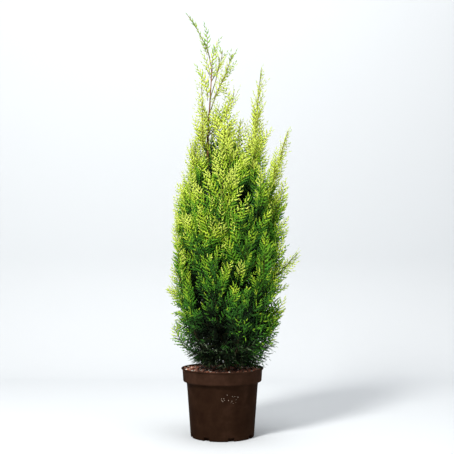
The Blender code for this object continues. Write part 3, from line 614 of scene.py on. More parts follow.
def clusterFronds(cluster, rng):
    middleX, middleY, low, high, lowRadius, highRadius, count, length, inner = cluster
    found = []
    for i in range(count):
        climb = (i + 0.5) / count
        turn = goldenTurn * i + rng.uniform(*clusterRule["turn"])
        outward = toSide(turn)
        tip = np.array([middleX, middleY, mix(low, high, climb)])
        tip = tip + outward * mix(lowRadius, highRadius, climb)
        rise = np.interp(tip[2], *clusterRule["drooping"])
        back = unit(up * rise + outward * mix(*clusterRule["outward"], max(rise, 0)))
        wished = tip - back * length * rng.uniform(*clusterRule["longer"])
        facing = unit(faceOf(turn, i) + toSide(turn + 45) * rng.uniform(*clusterRule["facing"]))
        frond = frondTo(tip, wished, facing, rng.normal(scale=clusterRule["bright"]))
        found.append(frond | {"inner": np.array([float(inner)])})
    return found


# the lowest fronds hang over the pot's rim, all round
hanging = {"count": 84, "radius": (0.07, 0.128), "middle": 0.3, "low": 0.197, "high": 0.235,
           "foot": 0.085, "footAt": 0.12, "above": 0.035, "upward": 0.5, "turned": (-1, 1)}


def hangingFronds(rng):
    found = []
    for i in range(hanging["count"]):
        outward, across = toSide(goldenTurn * i), toSide(goldenTurn * i + 90)
        radius = mix(*hanging["radius"], ((i * 7) % hanging["count"]) / hanging["count"])
        height = rng.uniform(hanging["low"], hanging["high"])
        tip = np.array([crownX * hanging["middle"], 0, height]) + outward * radius
        wished = tip - outward * hanging["foot"] * radius / hanging["footAt"] + up * hanging["above"]
        facing = unit(outward + up * hanging["upward"] + across * rng.uniform(*hanging["turned"]))
        found.append(frondTo(tip, wished, facing, 0.0))
    return found


# dark twigs behind the fans, all round a stem, painted shade for the crown's inside: how many, where on it,
# how long, degrees from it
innerRules = {"tier": (14, (0.06, 0.8), (0.066, 0.105), (30, 80)),
              "leader": (12, (0.08, 0.66), (0.045, 0.075), (25, 70)),
              "trunk": (200, (0.06, 1.0), (0.066, 0.105), (35, 85))}
innerBend, innerTop = 0.08, 0.78


def innerFronds(line, rule, rng):
    count, shares, lengths, spread = rule
    share = rng.uniform(*shares, count)
    root, along = placesOn(line, share)
    outward = outwardAt(root, along)
    side = between(np.cross(along, outward), outward, rng.uniform(0, 2 * np.pi, count))
    direction = unit(between(along, side, np.radians(rng.uniform(*spread, count))))
    facing = unit(np.cross(direction, rng.normal(size=(count, 3))))
    length = rng.uniform(*lengths, count)
    bend = rng.normal(scale=innerBend, size=(count, 3))
    return frondSet(root, direction, facing, length, share, bend, inner=1.0)


# behind each full frond a dark one, painted shade, leaves the same place and leans further in
twins = {"share": 0.72, "below": 0.8, "lean": (0.15, 0.35), "stray": 0.1, "turn": (20, 80), "length": 0.86}


def shadedTwins(f, rng):
    chosen = (f["root"][:, 2] < twins["below"]) & (f["slim"] == 0) & (f["inner"] == 0)
    chosen &= rng.random(len(chosen)) < twins["share"]
    twin = {key: value[chosen].copy() for key, value in f.items()}
    n = len(twin["length"])
    inward = unit(np.array([crownX, 0, 0]) - twin["root"] * [1, 1, 0])
    leaned = twin["direction"] + inward * rng.uniform(*twins["lean"], (n, 1))
    twin["direction"] = unit(leaned + rng.normal(scale=twins["stray"], size=(n, 3)))
    side = unit(np.cross(twin["direction"], twin["facing"]))
    twin["facing"] = between(twin["facing"], side, np.radians(rng.uniform(*twins["turn"], n)))
    twin["length"] = twin["length"] * twins["length"]
    twin["inner"] = np.ones(n)
    return twin


def bentAt(f, owner, t):  # point and direction at share t of these fronds
    length, bend, t = f["length"][owner][:, None], f["bend"][owner], np.broadcast_to(t, len(owner))[:, None]
    place = f["root"][owner] + length * (f["direction"][owner] * t + bend * t**2)
    return place, unit(f["direction"][owner] + 2 * bend * t)


# the leader shows in front for this stretch, and fronds are looked at in these places
parting = {"from": 0.8, "to": 1.02, "half": 0.005, "before": 0.003, "places": (0.15, 0.4, 0.7, 1.0)}


def beforeLeader(f):  # fronds that would hide it
    hides = np.zeros(len(f["length"]), bool)
    for t in parting["places"]:
        place, _ = bentAt(f, np.arange(len(hides)), t)
        leader = atHeight(trunkPath, place[:, 2])
        near = np.abs(place[:, 0] - leader[:, 0]) < parting["half"]
        near &= place[:, 1] < leader[:, 1] - parting["before"]
        hides |= near & (place[:, 2] > parting["from"]) & (place[:, 2] < parting["to"])
    return hides


crownSpace = {  # by height: how far tips may stand from the crown's middle, and at the left
    "middle": ((0.2, 0.24, 0.3, 0.7, 0.85), (0.024, 0.017, 0.01, 0.012, -0.01)),
    "low": ((0.195, 0.215, 0.24, 0.28, 0.34, 0.4), (0.1, 0.113, 0.132, 0.148, 0.156, 0.3)),
    "left": ((0.2, 0.3, 0.385, 0.395, 0.41, 0.42, 0.56, 0.7, 0.78, 0.86, 0.94, 1.04, 1.06),
             (-0.1, -0.142, -0.144, -0.16, -0.16, -0.144, -0.138, -0.132, -0.102, -0.09, -0.078, -0.08,
              -0.12)),
    "inner": ((0.19, 0.26, 0.34, 0.6, 0.72, 0.8, 0.86, 0.9),
              (0.092, 0.112, 0.122, 0.116, 0.088, 0.055, 0.026, 0.0)),
    "past": 0.004, "overRim": 0.006, "shorter": 0.86, "rounds": 9, "least": 0.014,
}


# nothing leaves the crown's own space, or reaches into the pot and its soil: such fronds grow shorter
def keptInside(f):
    space = crownSpace
    cadLow, cadHigh = np.array(cadBox[0]) - space["past"], np.array(cadBox[1]) + space["past"]
    lowest = rimHeight + space["overRim"]
    everyFrond = np.arange(len(f["length"]))
    tips = f["root"] + (f["direction"] + f["bend"]) * f["length"][:, None]
    low = tips[:, 2] < lowest
    f["bend"][low, 2] += (lowest - tips[low, 2]) / f["length"][low]
    for _ in range(space["rounds"]):
        tips, _ = bentAt(f, everyFrond, 1.0)
        outside = ((tips < cadLow) | (tips > cadHigh)).any(1)
        x, y, z = tips.T
        far = np.hypot(x - np.interp(z, *space["middle"]), y)
        outside |= (f["inner"] > 0) & (far > np.interp(z, *space["inner"]))
        outside |= (far > np.interp(z, *space["low"])) | (x < np.interp(z, *space["left"]))
        f["length"] = np.where(outside, f["length"] * space["shorter"], f["length"])
    keep = ~outside & (f["length"] > space["least"]) & (f["root"][:, 2] > rimHeight)
    return {key: value[keep] for key, value in f.items()}


def gathered(groups):  # several sets of fronds as one
    return {key: np.concatenate([group[key] for group in groups]) for key in groups[0]}


stemLuck = {"spread": 0.05, "below": 0.8, "stray": 0.14}  # how much brighter or darker a plume is
rng = np.random.default_rng(seed)
groups = []
for stem in plumes:
    stem["luck"] = rng.normal(scale=stemLuck["spread"]) if stem["line"][-1][2] < stemLuck["below"] else 0.0
    if stem["name"] == "stray_right":
        stem["luck"] = stemLuck["stray"]
for stem in plumes:
    if stem["name"] != "spire_tip":
        groups.append(frondsOf(stem, rng))
    groups += fansOf(stem, rng)
    if "tier" in stem:
        groups.append(innerFronds(stem["line"], innerRules["tier"], rng))
    elif stem["name"].startswith(("shoulder", "leader_right", "leader_far")):
        groups.append(innerFronds(stem["line"], innerRules["leader"], rng))
groups += [namedFrond(frond) for frond in namedFronds] + [slimTwig(twig) for twig in slimTwigs]
for cluster in clusters:
    groups += clusterFronds(cluster, rng)
groups += hangingFronds(rng)
groups.append(innerFronds(trunkPath[trunkPath[:, 2] < innerTop], innerRules["trunk"], rng))
fronds = gathered(groups)
fronds = keptInside(gathered([fronds, shadedTwins(fronds, rng)]))
hiding = beforeLeader(fronds)
fronds = {key: value[~hiding] for key, value in fronds.items()}
print("fronds:", len(fronds["length"]), "of them inner:", int(fronds["inner"].sum()))


# pinnae: the same rule once more along each frond, on a line that bends

pinnaRule = {
    "spacing": 0.005, "innerSpacing": 0.0102, "slimSpacing": 0.0066, "first": 0.1, "last": 0.97,
    "length": 0.2, "innerLength": 0.32, "slimLength": 0.22,  # as shares of the frond's
    "open": 56, "close": 36, "slimAngle": -10, "stray": (-8, 8),  # degrees from the frond
    "outOfPlane": 0.2, "foot": 0.66, "fullFrom": 0.3, "shorterBy": 0.62,
    "longer": (0.84, 1.14), "least": 0.0088, "slimLeast": 0.0112,
    "spacingByLength": ((0.02, 0.1), (0.62, 1)),  # the last two by the height of the frond's root
    "spacingByHeight": ((0.24, 0.31, 0.74, 0.86), (1.65, 1.16, 1.16, 1.55)),
    "lengthByHeight": ((0.24, 0.31, 0.74, 0.8, 0.96, 1.0), (1.75, 1.25, 1.25, 1.1, 1.1, 1)),
}


def pinnaeOf(f, rng):
    rule, inner, rootZ = pinnaRule, f["inner"] > 0, f["root"][:, 2]
    spacing = rule["spacing"] * np.interp(f["length"], *rule["spacingByLength"])
    spacing = mix(spacing * np.interp(rootZ, *rule["spacingByHeight"]), rule["slimSpacing"], f["slim"])
    spacing = np.where(inner, rule["innerSpacing"], spacing)
    count = np.maximum(5, np.round(f["length"] * (1 - rule["first"]) / spacing)).astype(int)
    owner = np.repeat(np.arange(len(count)), count)
    order = np.arange(len(owner)) - np.repeat(np.cumsum(count) - count, count)
    n = len(owner)
    t = rule["first"] + (1 - rule["first"]) * (order + 0.35 * rng.random(n)) / count[owner]
    last = order == count[owner] - 1
    t[last] = rule["last"]
    root, along = bentAt(f, owner, t)
    side = unit(np.cross(along, f["facing"][owner]))
    facing = np.cross(side, along)
    hand = np.where(order % 2 == 0, 1, -1)[:, None]
    side = unit(side * hand + facing * rng.normal(scale=rule["outOfPlane"], size=(n, 1)))
    slim = f["slim"][owner]
    angle = mix(rule["open"], rule["close"], t) + slim * rule["slimAngle"] + rng.uniform(*rule["stray"], n)
    angle[last] = 0
    direction = unit(between(along, side, np.radians(angle)))
    full = rule["fullFrom"]
    envelope = 1 - rule["shorterBy"] * (np.maximum(t - full, 0) / (1 - full))**1.5
    envelope = np.where(t < full, mix(rule["foot"], 1.0, t / full), envelope)
    reach = mix(rule["length"], rule["slimLength"], slim) * np.interp(rootZ[owner], *rule["lengthByHeight"])
    reach = np.where(inner[owner], rule["innerLength"], reach)
    length = f["length"][owner] * reach * envelope * rng.uniform(*rule["longer"], n)
    return {"owner": owner, "t": t, "root": root, "direction": direction, "facing": facing, "along": along,
            "length": np.maximum(length, mix(rule["least"], rule["slimLeast"], slim)), "inner": inner[owner],
            "slim": slim}


# leaf shapes: a flattened cord of scale leaves, with shorter ones leaving it in turn

leafShapes = {
    # least length that takes it, teeth, and as shares of the leaf: width, teeth's width and length, thickness
    "large": (0.02, 6, 0.14, 0.15, 0.2, 0.05), "long": (0.0125, 5, 0.205, 0.215, 0.23, 0.07),
    "middle": (0.0098, 4, 0.285, 0.27, 0.27, 0.09), "short": (0.0, 3, 0.32, 0.29, 0.3, 0.11),
    "high": (0.0, 4, 0.29, 0.24, 0.21, 0.09), "cord": (0.0, 3, 0.23, 0.18, 0.24, 0.15),
    "low": (0.0, 4, 0.165, 0.14, 0.16, 0.065), "inner": (0.0, 4, 0.17, 0.21, 0.38, 0.05),
}
leafRule = {
    "below": 0.262, "above": 0.8,  # where the low and the high shape are dealt
    "aside": 0.03, "rings": ((0.36, 1.0),), "longRings": ((0.22, 1.0), (0.66, 0.78)),  # place and width
    "teethFrom": 0.13, "teethTo": 0.86, "open": 46, "close": 32, "shorterBy": 0.55,
    "widest": 0.4, "sunk": 0.02,
    "sweep": 0.11, "arch": 0.1,
}


def leafCord(teeth, width, thick):  # three-sided spindle, with a second ring where the leaf is long
    t, w = np.array(leafRule["rings"] if teeth < 6 else leafRule["longRings"]).T[..., None]
    end = np.array([1.0, leafRule["aside"], 0.0])
    side = unit(np.array([-leafRule["aside"], 1.0, 0.0]))
    rings = ringsAbout(t * end, side * width * 0.575, up * thick / 2, w, threeSided)
    return lofted(rings[None], np.zeros((1, 3)), end[None])


def leafTooth(foot, reach, angle, width, thick):  # four faces: the outline is a rhomb, its widest part raised
    tip = foot + [leafRule["sunk"] + reach * math.cos(angle), reach * math.sin(angle)]
    along = tip - foot
    across = np.array([-along[1], along[0]]) / np.linalg.norm(along) * width / 2
    middle = foot + along * leafRule["widest"]
    verts = np.array([(*foot, 0), (*(middle + across), thick), (*(middle - across), thick), (*tip, 0)])
    return verts, outwardFaces(verts, np.array([(0, 2, 1), (3, 1, 2), (0, 1, 3), (0, 3, 2)]))


def leafUnit(teeth, width, toothWidth, toothLength, thick):
    parts = [leafCord(teeth, width, thick)]
    for k in range(teeth):
        far = k / (teeth - 1)
        x = mix(leafRule["teethFrom"], leafRule["teethTo"], far)
        angle = math.radians(mix(leafRule["open"], leafRule["close"], far)) * (1 if k % 2 == 0 else -1)
        foot = np.array([x - leafRule["sunk"], leafRule["aside"] * x])
        reach = toothLength * (1 - leafRule["shorterBy"] * far)
        parts.append(leafTooth(foot, reach, angle, toothWidth, thick))
    return joined(parts)


# root + L (direction x + side y + facing z) for every point of the leaf's own outline
def leavesAs(kind, chosen):
    verts, faces = leafUnit(*leafShapes[kind][1:])
    d = pinnae["direction"][chosen]
    normal = unit(pinnae["facing"][chosen] - d * (pinnae["facing"][chosen] * d).sum(-1, keepdims=True))
    side = np.cross(normal, d)
    x, y, z = verts[None, :, 0:1], verts[None, :, 1:2], verts[None, :, 2:3]
    forward = np.sign((pinnae["along"][chosen] * side).sum(-1))[:, None, None]
    sweep, arch = leafRule["sweep"] * forward * x**2, leafRule["arch"] * x**2
    world = d[:, None] * x + side[:, None] * (y + sweep) + normal[:, None] * (z - arch)
    return repeated(pinnae["length"][chosen][:, None, None] * world + pinnae["root"][chosen][:, None], faces)


# colours: one plain green for each side twig, by its tone

greens = {
    # tone up to which it is dealt, the colour as seen, and its slot
    "shade": (0.08, (8, 24, 4), "foliage_dark"), "bottle": (0.18, (15, 42, 11), "foliage_dark"),
    "deep": (0.29, (31, 67, 20), "foliage_dark"), "leaf": (0.4, (49, 98, 31), "foliage_green"),
    "middle": (0.51, (71, 130, 32), "foliage_green"), "fresh": (0.62, (104, 158, 38), "foliage_green"),
    "lime": (0.73, (143, 184, 44), "foliage_lime"), "bright": (0.84, (182, 209, 58), "foliage_lime"),
    "pale": (0.999, (212, 228, 98), "foliage_lime"), "grey": (1.5, (70, 92, 56), "foliage_dark"),
    "silver": (9.0, (118, 134, 104), "foliage_dark"),
}
toneRule = {
    "height": ((0.19, 0.27, 0.34, 0.4, 0.46, 0.54, 0.61, 0.7, 0.8, 0.9, 1.04, 1.1, 1.18),
               (0.21, 0.25, 0.345, 0.41, 0.46, 0.47, 0.45, 0.56, 0.88, 0.94, 0.86, 0.74, 0.66)),
    "reach": ((0.2, 0.3, 0.5, 0.7, 0.85, 1.0, 1.2), (0.12, 0.14, 0.145, 0.12, 0.08, 0.05, 0.04)),
    "round": ((0.26, 0.5), (0.5, 1.0)), "most": 1.15,  # how far depth counts beside width
    "out": (1.05, 0.79), "alongFrond": (0.34, 0.5), "alongStem": (0.2, 0.6),  # each adds a (place - b)
    "spread": ((0.2, 0.3, 0.7, 0.78, 0.9, 1.0), (0.6, 1.0, 0.95, 0.5, 0.15, 0.0)),
    "aside": ((0.25, 0.4, 0.53, 0.61, 0.8), (0.3, 1.0, 1.0, 0.6, 0.4)), "paintedShadeRight": 1.05, "paintedLightLeft": 0.45,
    # painted shade for the inside twigs: their tone scaled down, with a ceiling by height
    "inner": 0.38, "innerMost": ((0.62, 0.84), (0.17, 0.46)), "slim": 0.08,
    "frondLuck": 0.07, "slimLuck": 0.3, "twigLuck": 0.075,
    "silverShare": 0.08, "greyShare": 0.1, "silverBelow": 0.27,  # low twigs with painted greyish highlights
    "silverFrom": 0.06, "silver": 2.0, "grey": 1.3, "highest": 0.998, "depth": 0.3, "spotsBefore": 0.02,
}
# painted shade in the hollows between the plumes, and painted light where the sun falls
paintedShadeAndSun = (
    # seen from the front: x, z, radius, and how much painted shade, less than nothing for painted light where
    # the sun falls
    (0.08, 0.69, 0.056, 0.08), (0.098, 0.6, 0.046, 0.18), (0.11, 0.515, 0.052, 0.17),
    (0.105, 0.69, 0.034, 0.06), (0.11, 0.76, 0.04, 0.07), (-0.063, 0.45, 0.038, 0.16),
    (0.054, 0.56, 0.044, 0.16), (-0.068, 0.525, 0.04, 0.24), (0.055, 0.375, 0.045, 0.09),
    (-0.05, 0.62, 0.028, 0.06), (0.049, 0.745, 0.03, -0.14), (-0.005, 0.55, 0.046, -0.2),
    (0.04, 0.812, 0.05, -0.18), (-0.025, 0.805, 0.045, -0.13), (0.048, 0.46, 0.03, -0.12),
)


# 0 dark to 1 pale: by height, how far out in the crown (painted shade deeper in), how near the tip of its
#                   frond, painted light at the left and painted shade at the right, painted shade and light
#                   in soft spots, painted shade on the inside twigs, painted highlights on some low twigs,
#                   and a little luck
def tonesOf(p, f, rng):
    rule, owner = toneRule, p["owner"]
    x, y, z = p["root"].T
    radial = np.hypot(x - crownX, y)
    # painted shade: the deeper inside the crown a twig lies, the darker its tone
    out = mix(np.abs(x - y * rule["depth"] - crownX), radial, np.interp(z, *rule["round"]))
    places = {"out": np.clip(out / np.interp(z, *rule["reach"]), 0, rule["most"]), "alongFrond": p["t"],
              "alongStem": f["share"][owner]}
    outward = sum(rule[key][0] * (place - rule[key][1]) for key, place in places.items())
    tone = np.interp(z, *rule["height"]) + np.interp(z, *rule["spread"]) * outward
    # painted light on the crown's left and painted shade on its right, where the key light falls from the
    # upper left
    aside = (x - crownX) * np.interp(z, *rule["aside"])
    tone = tone - np.where(aside > 0, rule["paintedShadeRight"], rule["paintedLightLeft"]) * aside
    # painted shade and painted light in soft spots on the crown's front
    for spotX, spotZ, radius, darker in paintedShadeAndSun:
        far = np.hypot(x - spotX, z - spotZ) / radius
        tone = tone - darker * np.exp(-far**2) * (y < rule["spotsBefore"])
    tone = tone + f["luck"][owner] + f["bright"][owner] + rng.normal(scale=rule["twigLuck"], size=len(z))
    tone = tone - rule["slim"] * p["slim"]
    # painted shade: the inside twigs' tone is scaled down and held under a ceiling that rises with height
    tone = np.where(p["inner"], np.minimum(tone * rule["inner"], np.interp(z, *rule["innerMost"])), tone)
    # painted highlights: a share of the low twigs turn grey or silver
    low = z < rule["silverBelow"]
    silver = (rng.random(len(z)) < rule["silverShare"]) & low & (radial > rule["silverFrom"])
    grey = (rng.random(len(z)) < rule["greyShare"]) & low
    tone = np.clip(tone, 0, rule["highest"])
    return np.where(silver, rule["silver"], np.where(grey, rule["grey"], tone))


fronds["luck"] = rng.normal(scale=toneRule["frondLuck"], size=len(fronds["length"]))
fronds["luck"] = fronds["luck"] * mix(1, toneRule["slimLuck"], fronds["slim"])
pinnae = pinnaeOf(fronds, rng)
tones = tonesOf(pinnae, fronds, rng)
print("pinnae:", len(tones))

shapeOf = np.full(len(tones), "short", dtype="U6")
for kind in ("middle", "long", "large"):
    shapeOf[pinnae["length"] >= leafShapes[kind][0]] = kind
shapeOf[pinnae["root"][:, 2] > leafRule["above"]] = "high"
shapeOf[pinnae["slim"] > 0.5] = "cord"
shapeOf[fronds["root"][pinnae["owner"], 2] < leafRule["below"]] = "low"
shapeOf[pinnae["inner"]] = "inner"
mostTriangles = 190000


def pieceOfLeaves(name, chosen, material, slot):
    kinds = [kind for kind in leafShapes if (chosen & (shapeOf == kind)).any()]
    verts, faces = joined([leavesAs(kind, chosen & (shapeOf == kind)) for kind in kinds])
    pieces = int(np.ceil(len(faces) / mostTriangles))
    if pieces == 1:
        putMesh(name, verts, faces, material, slot)
        return
    for k in range(pieces):
        some = np.zeros(len(chosen), bool)
        some[np.flatnonzero(chosen)[k::pieces]] = True
        pieceOfLeaves(f"{name}_{k + 1}", some, material, slot)


floorTone = -1.0
for green, (ceiling, colour, slot) in greens.items():
    chosen = (tones > floorTone) & (tones <= ceiling)
    floorTone = ceiling
    if chosen.any():
        pieceOfLeaves(f"leaves_{green}", chosen, leafMaterial(f"scale leaves, {green}", colour), slot)
print("leaf triangles:", sum(count for _, count in allPieces))


# twigs: the rachis of each frond, and the stems that carry them

rachis = {"rings": (0.0, 0.35, 0.7), "taper": (1.0, 0.8, 0.55), "width": 0.011, "radius": (0.0005, 0.0013),
          "slim": 0.0012, "under": 0.0008}
twigTones = {"twigs_dark": (0.0, 0.42, (46, 50, 22), "foliage_dark"),
             "twigs_green": (0.42, 0.7, (84, 98, 30), "foliage_green"),
             "twigs_lime": (0.7, 2.0, (150, 142, 62), "foliage_lime")}
stemColours = {"stems": ((42, 29, 16), (68, 50, 28), (92, 74, 42)),
               "stems_high": ((80, 80, 30), (114, 114, 46), (144, 144, 66))}
highStems = 0.8


def rachises(f, chosen):  # three-sided tubes along each frond's bent line, tapering to its tip
    owner = np.flatnonzero(chosen)
    place, along = (np.stack(found, 1) for found in zip(*(bentAt(f, owner, t) for t in rachis["rings"])))
    side = unit(np.cross(along, f["facing"][owner][:, None]))
    radius = np.clip(f["length"][owner] * rachis["width"], *rachis["radius"])
    radius = np.maximum(radius, rachis["slim"] * f["slim"][owner])[:, None, None]
    radius = radius * np.array(rachis["taper"])[None, :, None]
    rings = ringsAbout(place, side, np.cross(side, along), radius, threeSided)
    start = f["root"][owner] - f["direction"][owner] * rachis["under"]
    return lofted(rings, start, bentAt(f, owner, 1.0)[0])


nodesOf = {slot: [part["node"] for part in frame["record"]["subparts"] if part["material_slot"] == slot]
           for slot in ("foliage_dark", "foliage_green", "foliage_lime")}
for name, (least, most, colour, slot) in twigTones.items():
    chosen = (fronds["root"][:, 2] >= least) & (fronds["root"][:, 2] < most)
    material = leafMaterial(name.replace("_", ", "), colour, 0.65)
    putMesh(name, *rachises(fronds, chosen), material, slot, nodesOf[slot])

stemParts = {kind: [] for kind in stemColours}
for plant in plumes:
    line = plant["line"]
    radii = stemRule["radius"] * max(0.7, plant["size"][0])
    radii = mix(radii, stemRule["tipRadius"], np.linspace(0, 1, len(line)))
    if plant["bough"]:
        keep = travelled(line) / travelled(line)[-1] >= boughRule["share"] - stemRule["overlap"]
        line, radii = line[keep], radii[keep]
    frontal = plant["name"].startswith(("leader", "stray", "spire_tip"))
    ref = front if frontal else unit(np.cross(up, toSide(plant.get("turn", stemRule["turn"]))))
    if len(line) > 2:
        stemParts["stems_high" if line[-1][2] > highStems else "stems"].append(tube(line, radii, 6, ref))
for kind, parts in stemParts.items():
    name, stops = kind.replace("_", ", "), list(zip((0.3, 0.55, 0.75), stemColours[kind]))
    material = grainedMaterial(name, 0.75, 0.3, 120, 4.0, stops, (0.5, 0.0008), (1, 1, 0.25))
    putMesh(kind, *joined(parts), material, "bark")
print("twigs and stems done")


# trunk and boughs, with the bark's relief

def barkRelief(angle, along):  # long furrows that wander round the limb, and short cracks across
    furrow = np.sin(7 * angle + 5 * np.sin(along * 26) + along * 31)
    fine = np.sin(13 * angle - 7 * np.sin(along * 41) + 4) * np.sin(along * 210 + 3 * np.sin(3 * angle))
    return 1 + 0.045 * furrow + 0.03 * fine


limbParts = [tube(trunkPath, trunkRadii(trunkPath), 24, front, barkRelief)]
limbNodes = ["trunk"]
for plant in plumes:
    if plant["bough"]:
        share = np.linspace(0.0, boughRule["share"], 20)
        tipRadius = stemRule["radius"] * plant["size"][0]
        radii = mix(boughRule["radius"], tipRadius, share / boughRule["share"])
        ref = front if "turn" not in plant else unit(np.cross(up, toSide(plant["turn"])))
        limbParts.append(tube(placesOn(plant["line"], share)[0], radii, 12, ref, barkRelief))
        limbNodes.append(f"bough_{plant['name']}")
barkStops = ((0.32, (62, 40, 26)), (0.5, (116, 76, 48)), (0.7, (156, 114, 78)))
barkMaterial = grainedMaterial("old bark", 0.85, 0.25, 90, 6.0, barkStops, (0.7, 0.0015), (1, 1, 0.22))
putMesh("limbs", *joined(limbParts), barkMaterial, "bark", limbNodes)
print("trunk and boughs done")


# pot

pot = {
    "height": rimHeight, "rim": 0.115, "collarDepth": 0.0373, "collarTop": 0.1115, "collarFoot": 0.1094,
    "neck": 0.0996, "base": 0.0885, "wall": 0.0018, "lip": 0.0016, "floor": 0.0075,
    "footWidth": 0.008, "footHeight": 0.004, "pad": 0.024,
    "drains": 8, "drainTurn": 16, "drainWidth": 0.017, "drainHeight": 0.0105, "drainDepth": 0.0095,
    "wallHeights": (0.13, 0.11, 0.09, 0.07, 0.05, 0.03, 0.018, 0.0125, 0.0106, 0.0104, 0.006, 0.0022,
                    0.0008, 0.0),
}


# (radius, height) from the floor inside, over a rolled lip and down the outside, to the pad underneath
def potProfile():
    p = pot
    foot, lip, thin = p["height"] - p["collarDepth"], p["height"] - p["lip"], p["wall"]
    roll = np.radians(np.linspace(190, -80, 10))
    rolled = np.stack([p["rim"] - p["lip"] + p["lip"] * np.cos(roll), lip + p["lip"] * np.sin(roll)], -1)
    inner = [(p["pad"], p["floor"]), (p["base"] - thin - 0.004, p["floor"]),
             (p["base"] - thin, p["floor"] + 0.003), (p["neck"] - thin, foot),
             (p["collarFoot"] - thin, foot + 0.005), (p["collarTop"] - thin, lip - 0.003),
             (p["collarTop"] - 0.0005, lip + 0.0009)]
    outer = [(p["collarTop"] + 0.0004, lip - 0.0024), (p["collarTop"], lip - 0.0034),
             (p["collarFoot"] + 0.0002, foot + 0.005), (p["collarFoot"], foot + 0.0022),
             (p["collarFoot"] - 0.001, foot + 0.0008), (p["collarFoot"] - 0.0026, foot),
             (p["neck"] + 0.0012, foot - 0.0012), (p["neck"] + 0.0002, foot - 0.003)]
    z = np.array(p["wallHeights"])
    wall = np.stack([mix(p["base"], p["neck"], (z - 0.003) / (foot - 0.003)), z], -1)
    wall[-2:, 0] -= 0.0005, 0.0014  # the foot's edge is rounded
    inside = p["base"] - p["footWidth"]
    under = [(inside, 0.0), (inside - 0.002, p["footHeight"]), (p["pad"] + 0.002, p["footHeight"]),
             (p["pad"], 0.0)]
    return np.vstack([inner, rolled, outer, wall, under])


def makePot():  # the profile turned round the axis, in even steps with close pairs at the sides of each drain
    profile = potProfile()
    half = pot["drainWidth"] / 2 / pot["base"]
    centres = np.radians(pot["drainTurn"] + 360 * np.arange(pot["drains"]) / pot["drains"])
    sides = np.concatenate([centres + s * half + e for s in (-1, 1) for e in (-0.006, 0.006)]) % (2 * np.pi)
    angles = np.unique(np.round(np.concatenate([np.radians(np.arange(0, 360, 2.5)), sides]), 5))
    off = np.abs((angles[:, None] - centres + np.pi) % (2 * np.pi) - np.pi).min(1)
    r, z = np.repeat(profile.T[:, :, None], len(angles), 2)
    atFoot = (profile[:, 0] > pot["base"] - 0.009) & (profile[:, 1] < pot["drainHeight"])
    atFoot &= np.arange(len(profile)) > len(profile) / 2
    r = np.where(atFoot[:, None] & (off < half), np.minimum(r, pot["base"] - pot["drainDepth"]), r)
    rings = np.stack([r * np.cos(angles), r * np.sin(angles), z], -1)
    return lofted(rings[None], np.array([[0, 0, pot["floor"]]]), np.zeros((1, 3)))


potMaterial, tree, shader = newMaterial("brown moulded plastic", 0.6, 0.02)
shader.inputs["IOR"].default_value = 1.2
coord, axes = tree.nodes.new("ShaderNodeTexCoord"), tree.nodes.new("ShaderNodeSeparateXYZ")
paler, total = tree.nodes.new("ShaderNodeMapRange"), tree.nodes.new("ShaderNodeMath")  # the collar is paler
tree.links.new(coord.outputs["Object"], axes.inputs["Vector"])
tree.links.new(axes.outputs["Z"], paler.inputs["Value"])
for key, value in {"From Min": 0.15, "From Max": 0.157, "To Min": 0.0, "To Max": 0.26}.items():
    paler.inputs[key].default_value = value
tree.links.new(objectNoise(tree, 34, 5.0), total.inputs[0])
tree.links.new(paler.outputs["Result"], total.inputs[1])
dealColours(tree, shader, total.outputs["Value"],
            ((0.3, (34, 20, 13)), (0.55, (41, 26, 17)), (0.8, (52, 34, 25)), (1.0, (62, 42, 32))))
addBump(tree, shader, objectNoise(tree, 700, 2.0), 0.18, 0.0004)
clean(putMesh("pot_shell", *makePot(), potMaterial, "pot_brown", ["pot"]))


# specks of dust that watering splashed on the pot's front: small eight-faced grains
dust = {"count": 17, "x": (-0.003, 0.043), "z": (0.103, 0.129), "size": (0.00045, 0.0012),
        "colour": (204, 188, 170)}


def makeDust(rng):
    corner = np.vstack([np.eye(3), -np.eye(3)])
    tris = np.array([(a, b, c) for a in (0, 3) for b in (1, 4) for c in (2, 5)])
    turned = (tris >= 3).sum(1) % 2 == 1
    tris[turned] = tris[turned][:, [0, 2, 1]]
    x, z = rng.uniform(*dust["x"], dust["count"]), rng.uniform(*dust["z"], dust["count"])
    radius = np.interp(z, (0.003, pot["height"] - pot["collarDepth"]), (pot["base"], pot["neck"]))
    centre = np.stack([x, -np.sqrt(radius**2 - x**2), z], -1)
    return repeated(centre[:, None] + corner * rng.uniform(*dust["size"], (dust["count"], 1, 1)), tris)


dustStops = ((0.35, [c * 0.8 for c in dust["colour"]]), (0.65, dust["colour"]))
dustMaterial = grainedMaterial("dried splashes", 0.9, 0.2, 600, 2.0, dustStops)
putMesh("pot_dust", *makeDust(np.random.default_rng(seed + 5)), dustMaterial, "soil", smooth=False)
print("pot done")


# compost with bark chips

soil = {"rise": 0.004, "radius": 0.108, "rings": 46, "spokes": 120, "depth": 0.012, "wallShare": 0.985}


def soilHeight(x, y):  # level at the trunk, higher at the wall, with lumps of two sizes
    r = np.hypot(x, y)
    lumps = 0.0016 * np.sin(x * 170 + 2 * np.sin(y * 120)) * np.sin(y * 190 + 1.7 * np.sin(x * 140))
    lumps = lumps + 0.0008 * np.sin(x * 520 + 1) * np.sin(y * 480 + 2 * np.sin(x * 300))
    rise = soil["rise"] * np.clip((r - 0.03) / 0.075, 0, 1)
    return soilTop - 0.0008 + rise + lumps * np.clip(r / 0.02 - 0.6, 0, 1)


